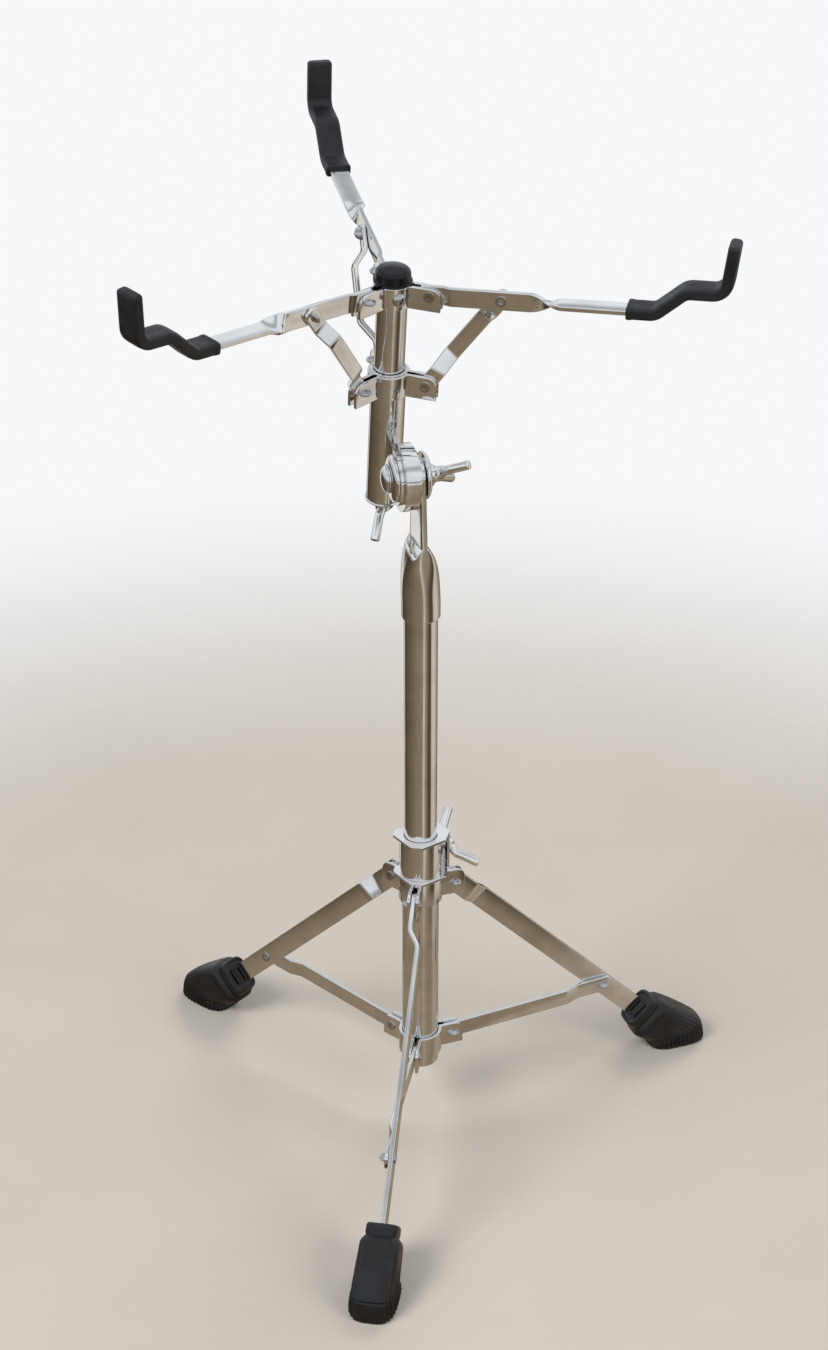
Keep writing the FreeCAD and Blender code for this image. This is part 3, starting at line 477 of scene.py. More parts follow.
leg_spokes = {}
for side in LEGS:
    hub, tangent = pivot(f"leg_{side}_fold")
    spoke = tangent.cross(Z)
    leg_spokes[side] = (hub, spoke, tangent)
    down = down_leg(spoke)
    leg_line = [(-LEG["head"], 0, 0), (LEG["jog_start"], 0, 0),
                (LEG["jog_start"] + LEG["jog_run"], LEG["jog"], 0), (LEG["end"], LEG["jog"], 0)]
    leg_mesh = skin("leg_bar", [bar_rings(leg_line, LEG)], axes(hub, down, tangent))
    piece(f"leg_bar_{side}", leg_mesh, f"leg_{side}", "chrome_bar", [f"leg_{side}"])
    collar = pivot(f"brace_{side}_fold")[0]
    reach = hub + down * LEG["rivet"] * MM - collar
    length = reach.length / MM
    jog = length - BRACE["jog_before"]
    brace_line = [(-BRACE["head"], 0, 0), (jog, 0, 0), (jog + BRACE["jog_run"], BRACE["jog"], 0),
                  (length + BRACE["tail"], BRACE["jog"], 0)]
    brace_mesh = skin("brace_bar", [bar_rings(brace_line, BRACE)], axes(collar, reach.normalized(), tangent))
    piece(f"brace_bar_{side}", brace_mesh, f"brace_{side}", "chrome_bar", [f"brace_{side}"])

# Rubber feet: an open mouth round the leg, a rolled neck, a groove, a squarish boot and a ribbed sole
FOOT = {"mouth": 212.0, "points": 240, "squareness": 3.8, "sole_squareness": 3.2, "sole_back": 2.6, "ribs": 40,
        "rib_height": 1.5, "ribs_from": 0.35, "body_steps": 8, "toe_from": 0.72, "toe_to": 0.85,
        "toe_groove": 0.9, "toe_fade": 0.85}
# Rings of the neck: distance along the leg from the mouth, depth and width
NECK = ((1.1, 22.0, 15.6), (0.9, 22.6, 16.2), (0.2, 23.2, 16.8), (0.0, 24.0, 17.6), (0.0, 25.6, 19.2),
        (0.7, 27.2, 20.8), (1.8, 27.8, 21.4), (6.2, 28.2, 21.8), (7.1, 27.4, 21.1), (8.0, 27.2, 20.9),
        (9.0, 29.2, 22.7), (10.4, 32.0, 25.2), (12.6, 34.0, 27.0))
# Rings of the sole: height, tilt in degrees, depth, width, and shares of the ribs and of the toe's groove
SOLE = ((10.4, 16, 40.4, 29.6, 0.55, 0), (9.6, 15, 40.8, 29.9, 0.65, 1), (8.8, 14, 42.0, 30.5, 0.8, 0),
        (5.6, 8, 44.2, 31.4, 1, 0), (2.0, 2, 45.4, 32.2, 1, 0), (0.5, 0, 44.8, 31.6, 1, 0),
        (0.0, 0, 42.6, 29.8, 0, 0))
SLOT = {"half_length": 6.4, "half_width": 0.75, "corner": 0.6, "offset": 5.3, "depth": 3.0}


def foot_rings():
    """The boot in its spoke's frame, whose origin is the leg's pivot over the floor."""
    hub_height = pivot("leg_front_fold")[0].z / MM
    aside = Y * LEG["jog"]
    floor = X * (hub_height * math.tan(LEAN) - FOOT["sole_back"]) - Z * hub_height + aside
    neck = [(down_leg(X) * (FOOT["mouth"] + run) + aside, LEAN, depth, width, 0, 0, FOOT["squareness"])
            for run, depth, width in NECK]
    sole = [(floor + Z * height, math.radians(tilt), depth, width, ribbed, groove, FOOT["sole_squareness"])
            for height, tilt, depth, width, ribbed, groove in SOLE]
    ribs_at_sole = sole[0][4]
    body = []
    for i in range(1, FOOT["body_steps"]):
        share = i / FOOT["body_steps"]
        centre, tilt, depth, width, _, _, squareness = (a + (b - a) * share for a, b in zip(neck[-1], sole[0]))
        ribbed = ribs_at_sole * progress(share, FOOT["ribs_from"], 1)
        body.append((centre, tilt, depth, width, ribbed, 0, squareness))
    rings = []
    for centre, tilt, depth, width, ribbed, groove, squareness in neck + body + sole:
        along = X * math.cos(tilt) + Z * math.sin(tilt)
        ring = squarish(along, Y, depth, width, FOOT["points"], squareness)
        for i, point in enumerate(ring):
            turn = math.tau * i / FOOT["points"]
            toe = progress(math.cos(turn), FOOT["toe_from"], FOOT["toe_to"])
            rib = FOOT["rib_height"] * ribbed * (1 - FOOT["toe_fade"] * toe)
            wave = (math.cos(turn * FOOT["ribs"]) - 1) / 2
            ring[i] = centre + point + point.normalized() * (wave * rib - groove * FOOT["toe_groove"] * toe)
        rings.append(ring)
    return rings


def foot_slots():
    """Two slots in the neck's face, one beside each face of the leg."""
    along = X * math.cos(LEAN) + Z * math.sin(LEAN)
    face = down_leg(X) * (FOOT["mouth"] + NECK[0][0]) + Y * LEG["jog"]
    section = rounded_rectangle(-SLOT["half_length"], SLOT["half_length"], SLOT["half_width"], SLOT["corner"])
    return [[face + along * u + Y * (v + way * SLOT["offset"]) for u, v in section] for way in (-1, 1)]


for side, (hub, spoke, tangent) in leg_spokes.items():
    boot = skin("boot", [foot_rings()], axes(hub, spoke, tangent), pockets=foot_slots(),
                sink=down_leg(X) * SLOT["depth"])
    piece(f"boot_{side}", boot, f"leg_{side}", "foot_rubber", [f"foot_{side}"])

# Hubs: sheet bent round a tube and out into pairs of ears
HUB = {"ear": 2.2, "side_gap": 0.3, "margin": 7.0, "corner": 6.0, "bend": 3.4, "bend_steps": 4, "arc_steps": 18}
LEG_TURNS = [math.radians(a) for a in (-90, 30, 150)]
ARM_TURNS = [math.radians(a) for a in (-30, 90, 210)]
HUBS = {
    "leg_hub": {"tube": 12.7, "bar": LEG["thickness"], "pivots": 24.2, "bottom": 175.5, "height": 19.0,
                "turns": LEG_TURNS, "frame": upright_frame, "body": "column"},
    "leg_collar": {"tube": 13.0, "bar": BRACE["thickness"], "pivots": 24.0, "bottom": 47.5, "height": 17.0,
                   "turns": LEG_TURNS, "frame": upright_frame, "body": "leg_collar"},
    "strut_collar": {"tube": 11.1, "bar": STRUT["thickness"], "pivots": 24.3, "bottom": 43.3, "height": 15.4,
                     "turns": ARM_TURNS, "frame": basket_frame, "body": "basket"},
    "arm_hub": {"tube": 9.55, "bar": ARM["thickness"], "pivots": 23.8, "bottom": 104.2, "height": 14.6,
                "turns": ARM_TURNS, "frame": basket_frame, "body": "basket_slider"},
}
# The strut collar also has a rolled rim on top and a sight hole in front
RIMMED = "strut_collar"
RIM = {"inner": 10.35, "outer": 12.2, "height": 1.1, "edge": 0.3}
FRONT = math.radians(-84.0)
SIGHT = {"radius": 1.7, "height": 7.0, "from": 9.0, "to": 16.0, "steps": 32}


def ear_rings(line, height):
    """Sheet sections along a bent strip, its upper end corners rounded."""
    rows, total = stations(line, end_marks(run_of(line), HUB["corner"]))
    rings = []
    for distance, place, heading in rows:
        trim = end_trim(distance, total, HUB["corner"])
        section = rounded_rectangle(0, height - trim, HUB["ear"] / 2, EDGE)
        side = Z.cross(heading)
        rings.append([place + Z * u + side * v for u, v in section])
    return rings


def eared_ring(size):
    """Three strips, each bent out from the tube into an ear at both ends."""
    middle = size["tube"] + HUB["ear"] / 2
    ear = size["bar"] / 2 + HUB["side_gap"] + HUB["ear"] / 2
    tip = size["pivots"] + HUB["margin"]
    root = math.asin(ear / middle)
    turns = size["turns"]
    strands = []
    for start, stop in zip(turns, turns[1:] + [turns[0] + math.tau]):
        sweep = [start + root + (stop - start - 2 * root) * i / HUB["arc_steps"]
                 for i in range(HUB["arc_steps"] + 1)]
        arc = [Vector((middle * math.cos(a), middle * math.sin(a), 0)) for a in sweep]
        first = Matrix.Rotation(start, 3, "Z") @ Vector((tip, ear, 0))
        last = Matrix.Rotation(stop, 3, "Z") @ Vector((tip, -ear, 0))
        strands.append(ear_rings(bent([first] + arc + [last], HUB["bend"], HUB["bend_steps"]), size["height"]))
    return strands


def rim_hoop(bottom):
    """The rolled rim round the tube."""
    section = rounded_rectangle(0, RIM["outer"] - RIM["inner"], RIM["height"], RIM["edge"])
    return lathe([(RIM["inner"] + u, bottom + v) for u, v in section])


def sight_drill():
    """A rod through the front of the sheet."""
    way = Matrix.Rotation(FRONT, 3, "Z") @ X
    rod = lathe([(SIGHT["radius"], SIGHT["from"]), (SIGHT["radius"], SIGHT["to"])], way, SIGHT["steps"])
    return [[p + Z * SIGHT["height"] for p in ring] for ring in rod]


for name, size in HUBS.items():
    hub_frame = raised(size["frame"], size["bottom"])
    hub_mesh = skin(name, eared_ring(size), hub_frame, [rim_hoop(size["height"])] if name == RIMMED else [])
    if name == RIMMED:
        hub_mesh = drilled(hub_mesh, skin("drill", [sight_drill()], hub_frame))
    piece(f"{name}_sheet", hub_mesh, size["body"], "chrome_pressing", [name])

# Arms, sleeves and struts. The sleeve covers the arm from its step on
STEP_END = ARM["step_start"] + ARM["step_run"]
SHELF_END = STEP_END + ARM["shelf"]
ARM_LINE = [(-ARM["head"], 0, 0), (ARM["jog_start"], 0, 0), (ARM["jog_start"] + ARM["jog_run"], -ARM["jog"], 0),
            (ARM["step_start"], -ARM["jog"], 0), (STEP_END, -ARM["jog"], ARM["step_rise"]),
            (SHELF_END, -ARM["jog"], ARM["step_rise"]),
            (SHELF_END + ARM["lean"], -ARM["jog"], ARM["step_rise"] + ARM["upright"])]
STEP_CORNERS = ARM_LINE[3:-1]
SLEEVE = {"start": 120.0, "width": 16.0, "thickness": 7.5, "end_wall": 3.0, "ribs": 22, "rib_height": 0.14,
          "squareness": 5.0, "points": 132, "bend_steps": 9, "lip": 0.5, "lip_from": 0.4, "lip_to": 3.2,
          "lip_marks": (0.5, 1.2, 3.0, 3.6, 6, 10), "tip_round": 2.4, "tip_steps": 7, "tip_share": 0.8}


def arm_rings():
    """A bar on edge at the hub that turns flat, then steps up and ends upright."""
    line = bent(ARM_LINE, ARM["bend"])
    start = ARM["head"] + ARM["twist_start"]
    marks = [start + ARM["twist_run"] * i / ARM["twist_steps"] for i in range(ARM["twist_steps"] + 1)]
    rows, total = stations(line, marks + end_marks(run_of(line), ARM["round"]))
    rings = []
    for distance, place, heading in rows:
        turn = math.radians(90) * eased(progress(distance, start, start + ARM["twist_run"]))
        side, above = crosswise(heading)
        across = above * math.cos(turn) - side * math.sin(turn)
        facing = side * math.cos(turn) + above * math.sin(turn)
        half = ARM["width"] / 2 - end_trim(distance, total, ARM["round"])
        section = rounded_rectangle(-half, half, ARM["thickness"] / 2, EDGE)
        rings.append([place + across * u + facing * v for u, v in section])
    return rings


def sleeve_swell(distance):
    """How much thicker the sleeve is in its lip, and thinner at the lip's eased edge."""
    if distance < SLEEVE["lip_from"]:
        return -SLEEVE["lip"]
    return SLEEVE["lip"] if distance < SLEEVE["lip_to"] else 0


def sleeve_rings():
    """A ribbed rubber sleeve over the arm's end, lipped at its mouth and rounded at its tip."""
    shelf_end, arm_end = Vector(ARM_LINE[-2]), Vector(ARM_LINE[-1])
    tip = arm_end + (arm_end - shelf_end).normalized() * SLEEVE["end_wall"]
    mouth = Vector((SLEEVE["start"], -ARM["jog"], 0))
    line = bent([mouth] + STEP_CORNERS + [tip], ARM["bend"], SLEEVE["bend_steps"])
    angles = [math.radians(90 * i / SLEEVE["tip_steps"]) for i in range(SLEEVE["tip_steps"])]
    marks = [run_of(line) - SLEEVE["tip_round"] * (1 - math.cos(a)) for a in angles]
    rows, total = stations(line, [*SLEEVE["lip_marks"], *marks])
    rings = []
    for distance, place, heading in rows:
        side, above = crosswise(heading)
        trim = end_trim(max(distance, total / 2), total, SLEEVE["tip_round"])
        growth = sleeve_swell(distance) - 2 * trim * SLEEVE["tip_share"]
        ring = squarish(side, above, SLEEVE["width"] + growth, SLEEVE["thickness"] + growth, SLEEVE["points"],
                        SLEEVE["squareness"])
        for i, point in enumerate(ring):
            wave = (math.cos(math.tau * i * SLEEVE["ribs"] / SLEEVE["points"]) - 1) / 2
            ring[i] = place + point + point.normalized() * SLEEVE["rib_height"] * wave
        rings.append(ring)
    return rings


for side in ARMS:
    hub, against = pivot(f"arm_{side}_fold")
    tangent = -against
    spoke = tangent.cross(RISE)
    lift = math.radians(ARM["elevation"])
    out = spoke * math.cos(lift) + RISE * math.sin(lift)
    arm_frame = axes(hub, out, tangent)
    arm_mesh = skin("arm_bar", [arm_rings()], arm_frame)
    piece(f"arm_bar_{side}", arm_mesh, f"arm_{side}", "chrome_bar", [f"arm_{side}"])
    sleeve_mesh = skin("sleeve", [sleeve_rings()], arm_frame)
    piece(f"sleeve_{side}", sleeve_mesh, f"arm_{side}", "sleeve_rubber", [f"arm_sleeve_{side}"])
    collar = pivot(f"strut_{side}_fold")[0]
    reach = hub + out * ARM["rivet"] * MM - collar
    length = reach.length / MM
    jog = length - STRUT["top_before"]
    strut_line = [(-STRUT["head"], 0, 0), (STRUT["low_start"], 0, 0),
                  (STRUT["low_start"] + STRUT["low_run"], STRUT["bow"], 0), (jog, STRUT["bow"], 0),
                  (jog + STRUT["top_run"], STRUT["top"], 0), (length + STRUT["head"], STRUT["top"], 0)]
    strut_mesh = skin("strut_bar", [bar_rings(strut_line, STRUT)], axes(collar, reach.normalized(), tangent))
    piece(f"strut_bar_{side}", strut_mesh, f"strut_{side}", "chrome_bar", [f"strut_{side}"])

# Cap: its outline as (radius, height) points, round the rim, up the wall, over the shoulder and the dome
CAP_BOTTOM = 118.8
cap_profile = [(AXIS, 0), (11.8, 0), (12.1, 0.3), (12.1, 1.1), (11.8, 1.5), (11.1, 1.7), (11.0, 2.2),
               (10.9, 5.4)]
cap_profile += quarter(radius=3.6, height=3.4, start_radius=10.9, start_height=5.6, steps=DOME_STEPS)
cap_profile += [(6.0, 9.4), (4.0, 9.7), (2.0, 9.88), (AXIS, 9.94)]
cap_mesh = skin("cap", [lathe(cap_profile)], raised(basket_frame, CAP_BOTTOM))
piece("cap_dome", cap_mesh, "basket_slider", "cap_plastic", ["top_cap"])

# Hub screw: a domed head with a cross recess, on a dense disc of rings
SCREW = {"radius": 4.4, "dome": 2.6, "face": 11.95, "seat": 1.0, "height": 111.5, "rings": 26, "points": 96,
         "middle": 0.02, "rim": 0.03, "start": 0.4}
CROSS = {"arm": 2.4, "half": 0.62, "depth": 1.3, "side_wall": 0.15, "end_wall": 0.6, "turn": 0.5}


def recessed(x, y):
    """How far the cross recess sinks the dome at a place."""
    turned = Matrix.Rotation(CROSS["turn"], 2) @ Vector((x, y))
    long, short = max(abs(turned.x), abs(turned.y)), min(abs(turned.x), abs(turned.y))
    beside = progress(short, CROSS["half"], CROSS["half"] - CROSS["side_wall"])
    beyond = progress(long, CROSS["arm"], CROSS["arm"] - CROSS["end_wall"])
    return CROSS["depth"] * beside * beyond


def screw_rings():
    """Rings from the head's underside over the dome to its middle, which faces along X."""
    rings = []
    for i in range(SCREW["rings"] + 1):
        radius = SCREW["radius"] * (1 - i / SCREW["rings"]) + SCREW["middle"]
        lift = SCREW["dome"] * math.sqrt(max(0, 1 - (radius / (SCREW["radius"] + SCREW["rim"])) ** 2))
        ring = []
        for j in range(SCREW["points"]):
            a = math.tau * j / SCREW["points"] + SCREW["start"]
            x, y = radius * math.cos(a), radius * math.sin(a)
            ring.append(Vector((SCREW["face"] + lift - recessed(x, y), x, SCREW["height"] + y)))
        rings.append(ring)
    under = [Vector((SCREW["face"] - SCREW["seat"], p.y, p.z)) for p in rings[0]]
    return [under] + rings


screw_mesh = skin("screw", [screw_rings()], basket_frame @ Matrix.Rotation(FRONT, 4, "Z"))
piece("hub_screw_head", screw_mesh, "basket_slider", "rivet_steel", ["arm_hub_screw"])

# Stem: a sleeve pressed flat towards its top
STEM = {"bottom": 391.0, "rim": 0.6, "rim_ease": 0.5, "radius": 12.7, "round_to": 402.0, "flat_from": 444.0,
        "rings": 26, "points": 64, "half_thickness": 2.2, "offset": -1.5, "root": 15.0, "eye": 11.0,
        "eye_rings": 10, "eye_top": 0.999, "pinch": 2.6, "swell": 0.75, "round": 2, "squarer": 5}


def rising(start, rise, steps):
    """Heights that come closer together as they near the top."""
    return [start + rise * math.sin(math.radians(90 * i / steps)) for i in range(steps + 1)]


def stem_rings():
    """Round at the rim, swelling in to a blade with a round eye."""
    eye_height = TILTER.z / MM
    heights = [STEM["bottom"], STEM["bottom"] + STEM["rim"]]
    heights += rising(STEM["round_to"], STEM["flat_from"] - STEM["round_to"], STEM["rings"])
    heights += rising(eye_height, STEM["eye"], STEM["eye_rings"])[:-1]
    heights.append(eye_height + STEM["eye"] * STEM["eye_top"])
    rings = []
    for height in heights:
        share = progress(height, STEM["round_to"], STEM["flat_from"])
        flat = (1 - share ** STEM["pinch"]) ** STEM["swell"]
        half_thickness = STEM["half_thickness"] + (STEM["radius"] - STEM["half_thickness"]) * flat
        half_width = STEM["radius"] + (STEM["root"] - STEM["radius"]) * share
        half_width += (STEM["eye"] - STEM["root"]) * progress(height, STEM["flat_from"], eye_height)
        if height > eye_height:
            half_width = math.sqrt(STEM["eye"] ** 2 - (height - eye_height) ** 2)
        if height == STEM["bottom"]:
            half_thickness -= STEM["rim_ease"]
            half_width -= STEM["rim_ease"]
        squareness = STEM["round"] + STEM["squarer"] * share ** 3
        ring = squarish(X, Y, 2 * half_thickness, 2 * half_width, STEM["points"], squareness)
        rings.append([p + X * STEM["offset"] * share + Z * height for p in ring])
    return rings


piece("stem_blade", skin("stem", [stem_rings()], mast_frame), "mast", "chrome_tube", ["tilter_stem"])

# Tilter: two bell-shaped washers and the bolt with its domed head, along the tilter's axis
BELL = {"left": -17.6, "right": 0.7, "radius": 15.4, "crown": 8.6, "height": 3.9, "edge": 0.6, "bore": 4.3,
        "ease": 0.3, "seat": 0.05}
BOLT = {"radius": 9.2, "rim": 0.9, "height": 4.4, "ease": 0.3, "shoulder": 0.5, "dome_in": 0.6, "gap": 0.1,
        "shank": 4.0, "shank_end": 13.0}


def on_axis(profile, start, along):
    """A turned shape on the tilter's axis, which starts at a place and grows along or against X."""
    return [[p + X * start for p in ring] for ring in lathe(profile, along)]


bell = [(BELL["bore"], BELL["seat"]), (BELL["radius"] - BELL["ease"], BELL["seat"]),
        (BELL["radius"], BELL["ease"])]
bell += quarter(BELL["radius"] - BELL["crown"], BELL["height"] - BELL["edge"], BELL["radius"], BELL["edge"],
                DOME_STEPS)
bell.append((BELL["bore"], BELL["height"]))
left_bell = skin("bell", [], tilter_frame, [on_axis(bell, BELL["left"], -X)])
piece("head_bell", left_bell, "basket", "chrome_pressing", ["head_dish_washer"])
right_bell = skin("bell", [], tilter_frame, [on_axis(bell, BELL["right"], X)])
piece("nut_bell", right_bell, "mast", "chrome_pressing", ["nut_dish_washer"])
dome_radius = BOLT["radius"] - BOLT["dome_in"]
dome_from = BOLT["rim"] + BOLT["ease"]
head = [(AXIS, 0), (BOLT["radius"] - BOLT["ease"], 0), (BOLT["radius"], BOLT["ease"]),
        (BOLT["radius"], BOLT["rim"]), (BOLT["radius"] - BOLT["shoulder"], dome_from)]
head += quarter(dome_radius, BOLT["height"] - BOLT["rim"], dome_radius, dome_from, DOME_STEPS)
head_left = BELL["left"] - BELL["height"] - BOLT["gap"]
shank = [(BOLT["shank"], 0), (BOLT["shank"], BOLT["shank_end"] - head_left)]
bolt_mesh = skin("bolt", [on_axis(head, head_left, -X), on_axis(shank, head_left, X)], tilter_frame)
piece("tilter_bolt_head", bolt_mesh, "mast", "chrome_casting", ["tilter_bolt"])

# Wing screws: a rod bent up at both ends across a small turned boss
WING = {"rod": 3.0, "rod_steps": 20, "half_span": 9.5, "rise": 0.8, "tip_out": 22.0, "tip_up": 13.4,
        "bend": 6.0, "bend_steps": 10, "tip_ease": 0.9, "tip_marks": (0.15, 0.5, 0.9), "boss_height": 7.0,
        "boss_steps": 48, "shank_steps": 32}
BOSS = {"ease": 0.3, "foot": 0.4, "root_to": 1.6, "waist_from": 2.6, "dome": 1.6, "dome_share": 0.6,
        "dome_steps": 5, "crown": 0.25}
CLAMP_SCREW = {"base": 19.3, "root": 5.6, "radius": 5.0, "shank": 3.0, "from": 14.7, "to": 19.4}
ADJUSTER = {"base": 37.3, "root": 6.0, "radius": 5.0, "shank": 4.0, "from": -39.8, "to": 37.4}
# The nut's outline stands on its seat
NUT = {"seat": 4.8, "wings": 3.5, "turn": 9}
NUT_PROFILE = [(AXIS, 0), (6.7, 0), (7.0, 0.4), (7.0, 2.4), (5.8, 3.2), (5.0, 4.4), (5.0, 9.0),
               *quarter(radius=3.0, height=1.6, start_radius=5.0, start_height=9.0, steps=BOSS["dome_steps"]),
               (AXIS, 10.8)]


def rod_rings(points):
    """A round rod along a bent line, its ends eased."""
    line = bent(points, WING["bend"], WING["bend_steps"])
    ends = [run_of(line) - mark for mark in WING["tip_marks"]]
    rows, total = stations(line, [*WING["tip_marks"], *ends])
    angles = [math.tau * i / WING["rod_steps"] for i in range(WING["rod_steps"])]
    rings = []
    for distance, place, heading in rows:
        side, above = crosswise(heading)
        radius = WING["rod"] - end_trim(distance, total, WING["tip_ease"])
        rings.append([place + side * radius * math.cos(a) + above * radius * math.sin(a) for a in angles])
    return rings


def wing_head(base, boss_profile):
    """The bent rod and its boss in a frame whose Z runs out of the screw and X along the wings."""
    seat = base + WING["boss_height"] - WING["rod"]
    line = [(-WING["tip_out"], 0, seat + WING["tip_up"]), (-WING["half_span"], 0, seat + WING["rise"]),
            (WING["half_span"], 0, seat + WING["rise"]), (WING["tip_out"], 0, seat + WING["tip_up"])]
    return [rod_rings(line), lathe(boss_profile, steps=WING["boss_steps"])]


def wing_screw(size):
    """A wing head on a boss with a waist and a domed top, and its shank."""
    base, root, radius = size["base"], size["root"], size["radius"]
    top = base + WING["boss_height"]
    boss = [(AXIS, base), (root - BOSS["ease"], base), (root, base + BOSS["foot"]),
            (root, base + BOSS["root_to"]), (radius, base + BOSS["waist_from"]), (radius, top - BOSS["dome"])]
    boss += quarter(radius * BOSS["dome_share"], BOSS["dome"], radius, top - BOSS["dome"], BOSS["dome_steps"])
    boss.append((AXIS, top + BOSS["crown"]))
    rod = lathe([(size["shank"], size["from"]), (size["shank"], size["to"])], steps=WING["shank_steps"])
    return wing_head(base, boss) + [rod]


def wing_frame(node_name, centre, axis, turn=0):
    """A frame on the screw's axis whose X lies along the wings of the CAD node, turned on by some degrees."""
    points = [v.co - centre for v in frame["nodes"][node_name].data.vertices]
    spread = [p - axis * p.dot(axis) for p in points]
    along = Matrix.Rotation(math.radians(turn), 3, axis) @ max(spread, key=lambda p: p.length).normalized()
    return axes(centre, along, axis.cross(along))


clamp_frame = wing_frame("height_wing_screw", *pivot("height_wing_turn"))
clamp_mesh = skin("height_wing", wing_screw(CLAMP_SCREW), clamp_frame)
piece("height_wing", clamp_mesh, "height_wing_screw", "chrome_casting", ["height_wing_screw"])
nut_wing = wing_head(NUT["seat"] + NUT["wings"], [(r, NUT["seat"] + h) for r, h in NUT_PROFILE])
nut_mesh = skin("tilter_wing", nut_wing, wing_frame("tilter_wing_nut", TILTER, ACROSS, NUT["turn"]))
piece("tilter_wing", nut_mesh, "tilter_wing_nut", "chrome_casting", ["tilter_wing_nut"])
adjuster_mesh = skin("adjuster_wing", wing_screw(ADJUSTER), wing_frame("adjuster_screw", BASKET, -RISE))
piece("adjuster_wing", adjuster_mesh, "adjuster_screw", "chrome_casting", ["adjuster_screw"])

# End plug: a thin rolled lip under the outer tube, on a neck down to the adjuster
PLUG = {"top": -34.0, "bottom": -37.0, "neck": 8.2, "flare": 0.6, "flare_under": 0.2, "lip": 11.9,
        "lip_height": 1.5, "ease": 0.5, "top_ease": 0.4}


def plug_profile():
    """The outline from the neck's foot up and round the lip."""
    neck, lip, ease, bottom, top = (PLUG[k] for k in ("neck", "lip", "ease", "bottom", "top"))
    lip_from = top - PLUG["lip_height"]
    return [(AXIS, bottom), (neck - ease, bottom), (neck, bottom + ease),
            (neck + PLUG["flare"], lip_from - PLUG["flare_under"]), (lip - ease, lip_from),
            (lip, lip_from + ease), (lip, top - ease), (lip - PLUG["top_ease"], top), (AXIS, top)]


plug_mesh = skin("plug", [lathe(plug_profile())], basket_frame)
piece("plug_lip", plug_mesh, "basket", "chrome_pressing", ["basket_end_plug"])

# CAD nodes that stay: eased edges and their own finish
CAD_WELD, CAD_EASE, CAD_EASE_STEPS, CAD_EASE_FROM = 0.02 * MM, 0.35 * MM, 2, math.radians(38)
node_slots = {s["node"]: s["material_slot"] for s in frame["record"]["subparts"]}
for name, item in frame["nodes"].items():
    item.data.materials.clear()
    item.data.materials.append(materials[node_slots[name]])
    if item.hide_render:
        continue
    weld = item.modifiers.new("weld", "WELD")
    weld.merge_threshold = CAD_WELD
    ease = item.modifiers.new("ease", "BEVEL")
    ease.width = CAD_EASE
    ease.segments = CAD_EASE_STEPS
    ease.limit_method = "ANGLE"
    ease.angle_limit = CAD_EASE_FROM
    even = item.modifiers.new("even", "WEIGHTED_NORMAL")
    even.keep_sharp = True

# Floor: plain paint that fades into the backdrop, and a painted reflection that only glossy rays see
CAMERA_FROM_COLUMN = Vector((0.2177, -1.2538, 1.0094))
CAMERA_AZIMUTH = math.atan2(CAMERA_FROM_COLUMN.y, CAMERA_FROM_COLUMN.x)
BACKDROP = (0.93, 0.94, 0.955, 1)
FLOOR = {"half": 15.0, "dark": (0.70, 0.645, 0.565, 1), "light": (0.75, 0.695, 0.615, 1), "grain": 3,
         "roughness": 0.8, "fade_from": 0.45, "fade_to": 1.25}
# Painted reflection, which glossy rays see in place of the floor: a warmer floor whose painted dark and bright
# streaks go round the stand, evener close by, that fades further out
PAINTED_REFLECTION = {"tint": (1.0, 0.72, 0.42), "board_grain": 7, "board_stretch": (0.35, 2.2, 1), "board_dark": 0.78,
            "near": (0.34, 0.265, 0.185, 1), "near_share": 0.8, "near_from": 0.20, "near_to": 0.38,
            "fade_from": 3.0, "fade_to": 6.0}
# Painted reflection: dark and bright tones by turn round the stand, streaks for the chrome to mirror
PAINTED_REFLECTION_TONES = ((0.00, 0.12), (0.03, 0.05), (0.06, 0.08), (0.075, 0.92), (0.105, 0.92), (0.12, 0.08),
                  (0.20, 0.13), (0.32, 0.20), (0.42, 0.28), (0.50, 0.32), (0.53, 0.36), (0.555, 0.80),
                  (0.585, 0.40), (0.63, 0.20), (0.66, 0.10), (0.70, 0.13), (0.725, 0.70), (0.79, 0.76),
                  (0.86, 0.44), (0.93, 0.24), (0.97, 0.05), (1.00, 0.12))


def light_path(tree, name):
    return tree.nodes.new("ShaderNodeLightPath").outputs[name]


def shown(tree):
    """One for rays that show the background itself: straight from the camera, or mirrored or seen through."""
    total = light_path(tree, "Is Camera Ray")
    for name in ("Is Glossy Ray", "Is Transmission Ray"):
        total = calculated(tree, "MAXIMUM", total, light_path(tree, name))
    return total


def painted_floor_reflection(tree, place, distance):
    """The floor's colour for glossy rays, a painted reflection: a glowing warm floor with dark and bright streaks
    round the stand.
    """
    from_column = node(tree, "ShaderNodeMapping", Location=COLUMN, Rotation=(0, 0, CAMERA_AZIMUTH))
    from_column.vector_type = "TEXTURE"
    tree.links.new(place, from_column.inputs["Vector"])
    around = tree.nodes.new("ShaderNodeTexGradient")
    around.gradient_type = "RADIAL"
    tree.links.new(from_column.outputs["Vector"], around.inputs["Vector"])
    tones = banded(tree, around.outputs["Fac"], PAINTED_REFLECTION_TONES, PAINTED_REFLECTION["tint"], fading=1)
    grain = noise(tree, place, PAINTED_REFLECTION["board_grain"], detail=4, stretch=PAINTED_REFLECTION["board_stretch"])
    boards = mixed(tree, 1, tones, ramp(tree, grain, PAINTED_REFLECTION["board_dark"], 1.0), "MULTIPLY")
    close = rescaled(tree, distance, From_Min=PAINTED_REFLECTION["near_from"], From_Max=PAINTED_REFLECTION["near_to"],
                     To_Min=PAINTED_REFLECTION["near_share"], To_Max=0)
    far = rescaled(tree, distance, From_Min=PAINTED_REFLECTION["fade_from"], From_Max=PAINTED_REFLECTION["fade_to"])
    return mixed(tree, far, mixed(tree, close, boards, PAINTED_REFLECTION["near"]), BACKDROP)


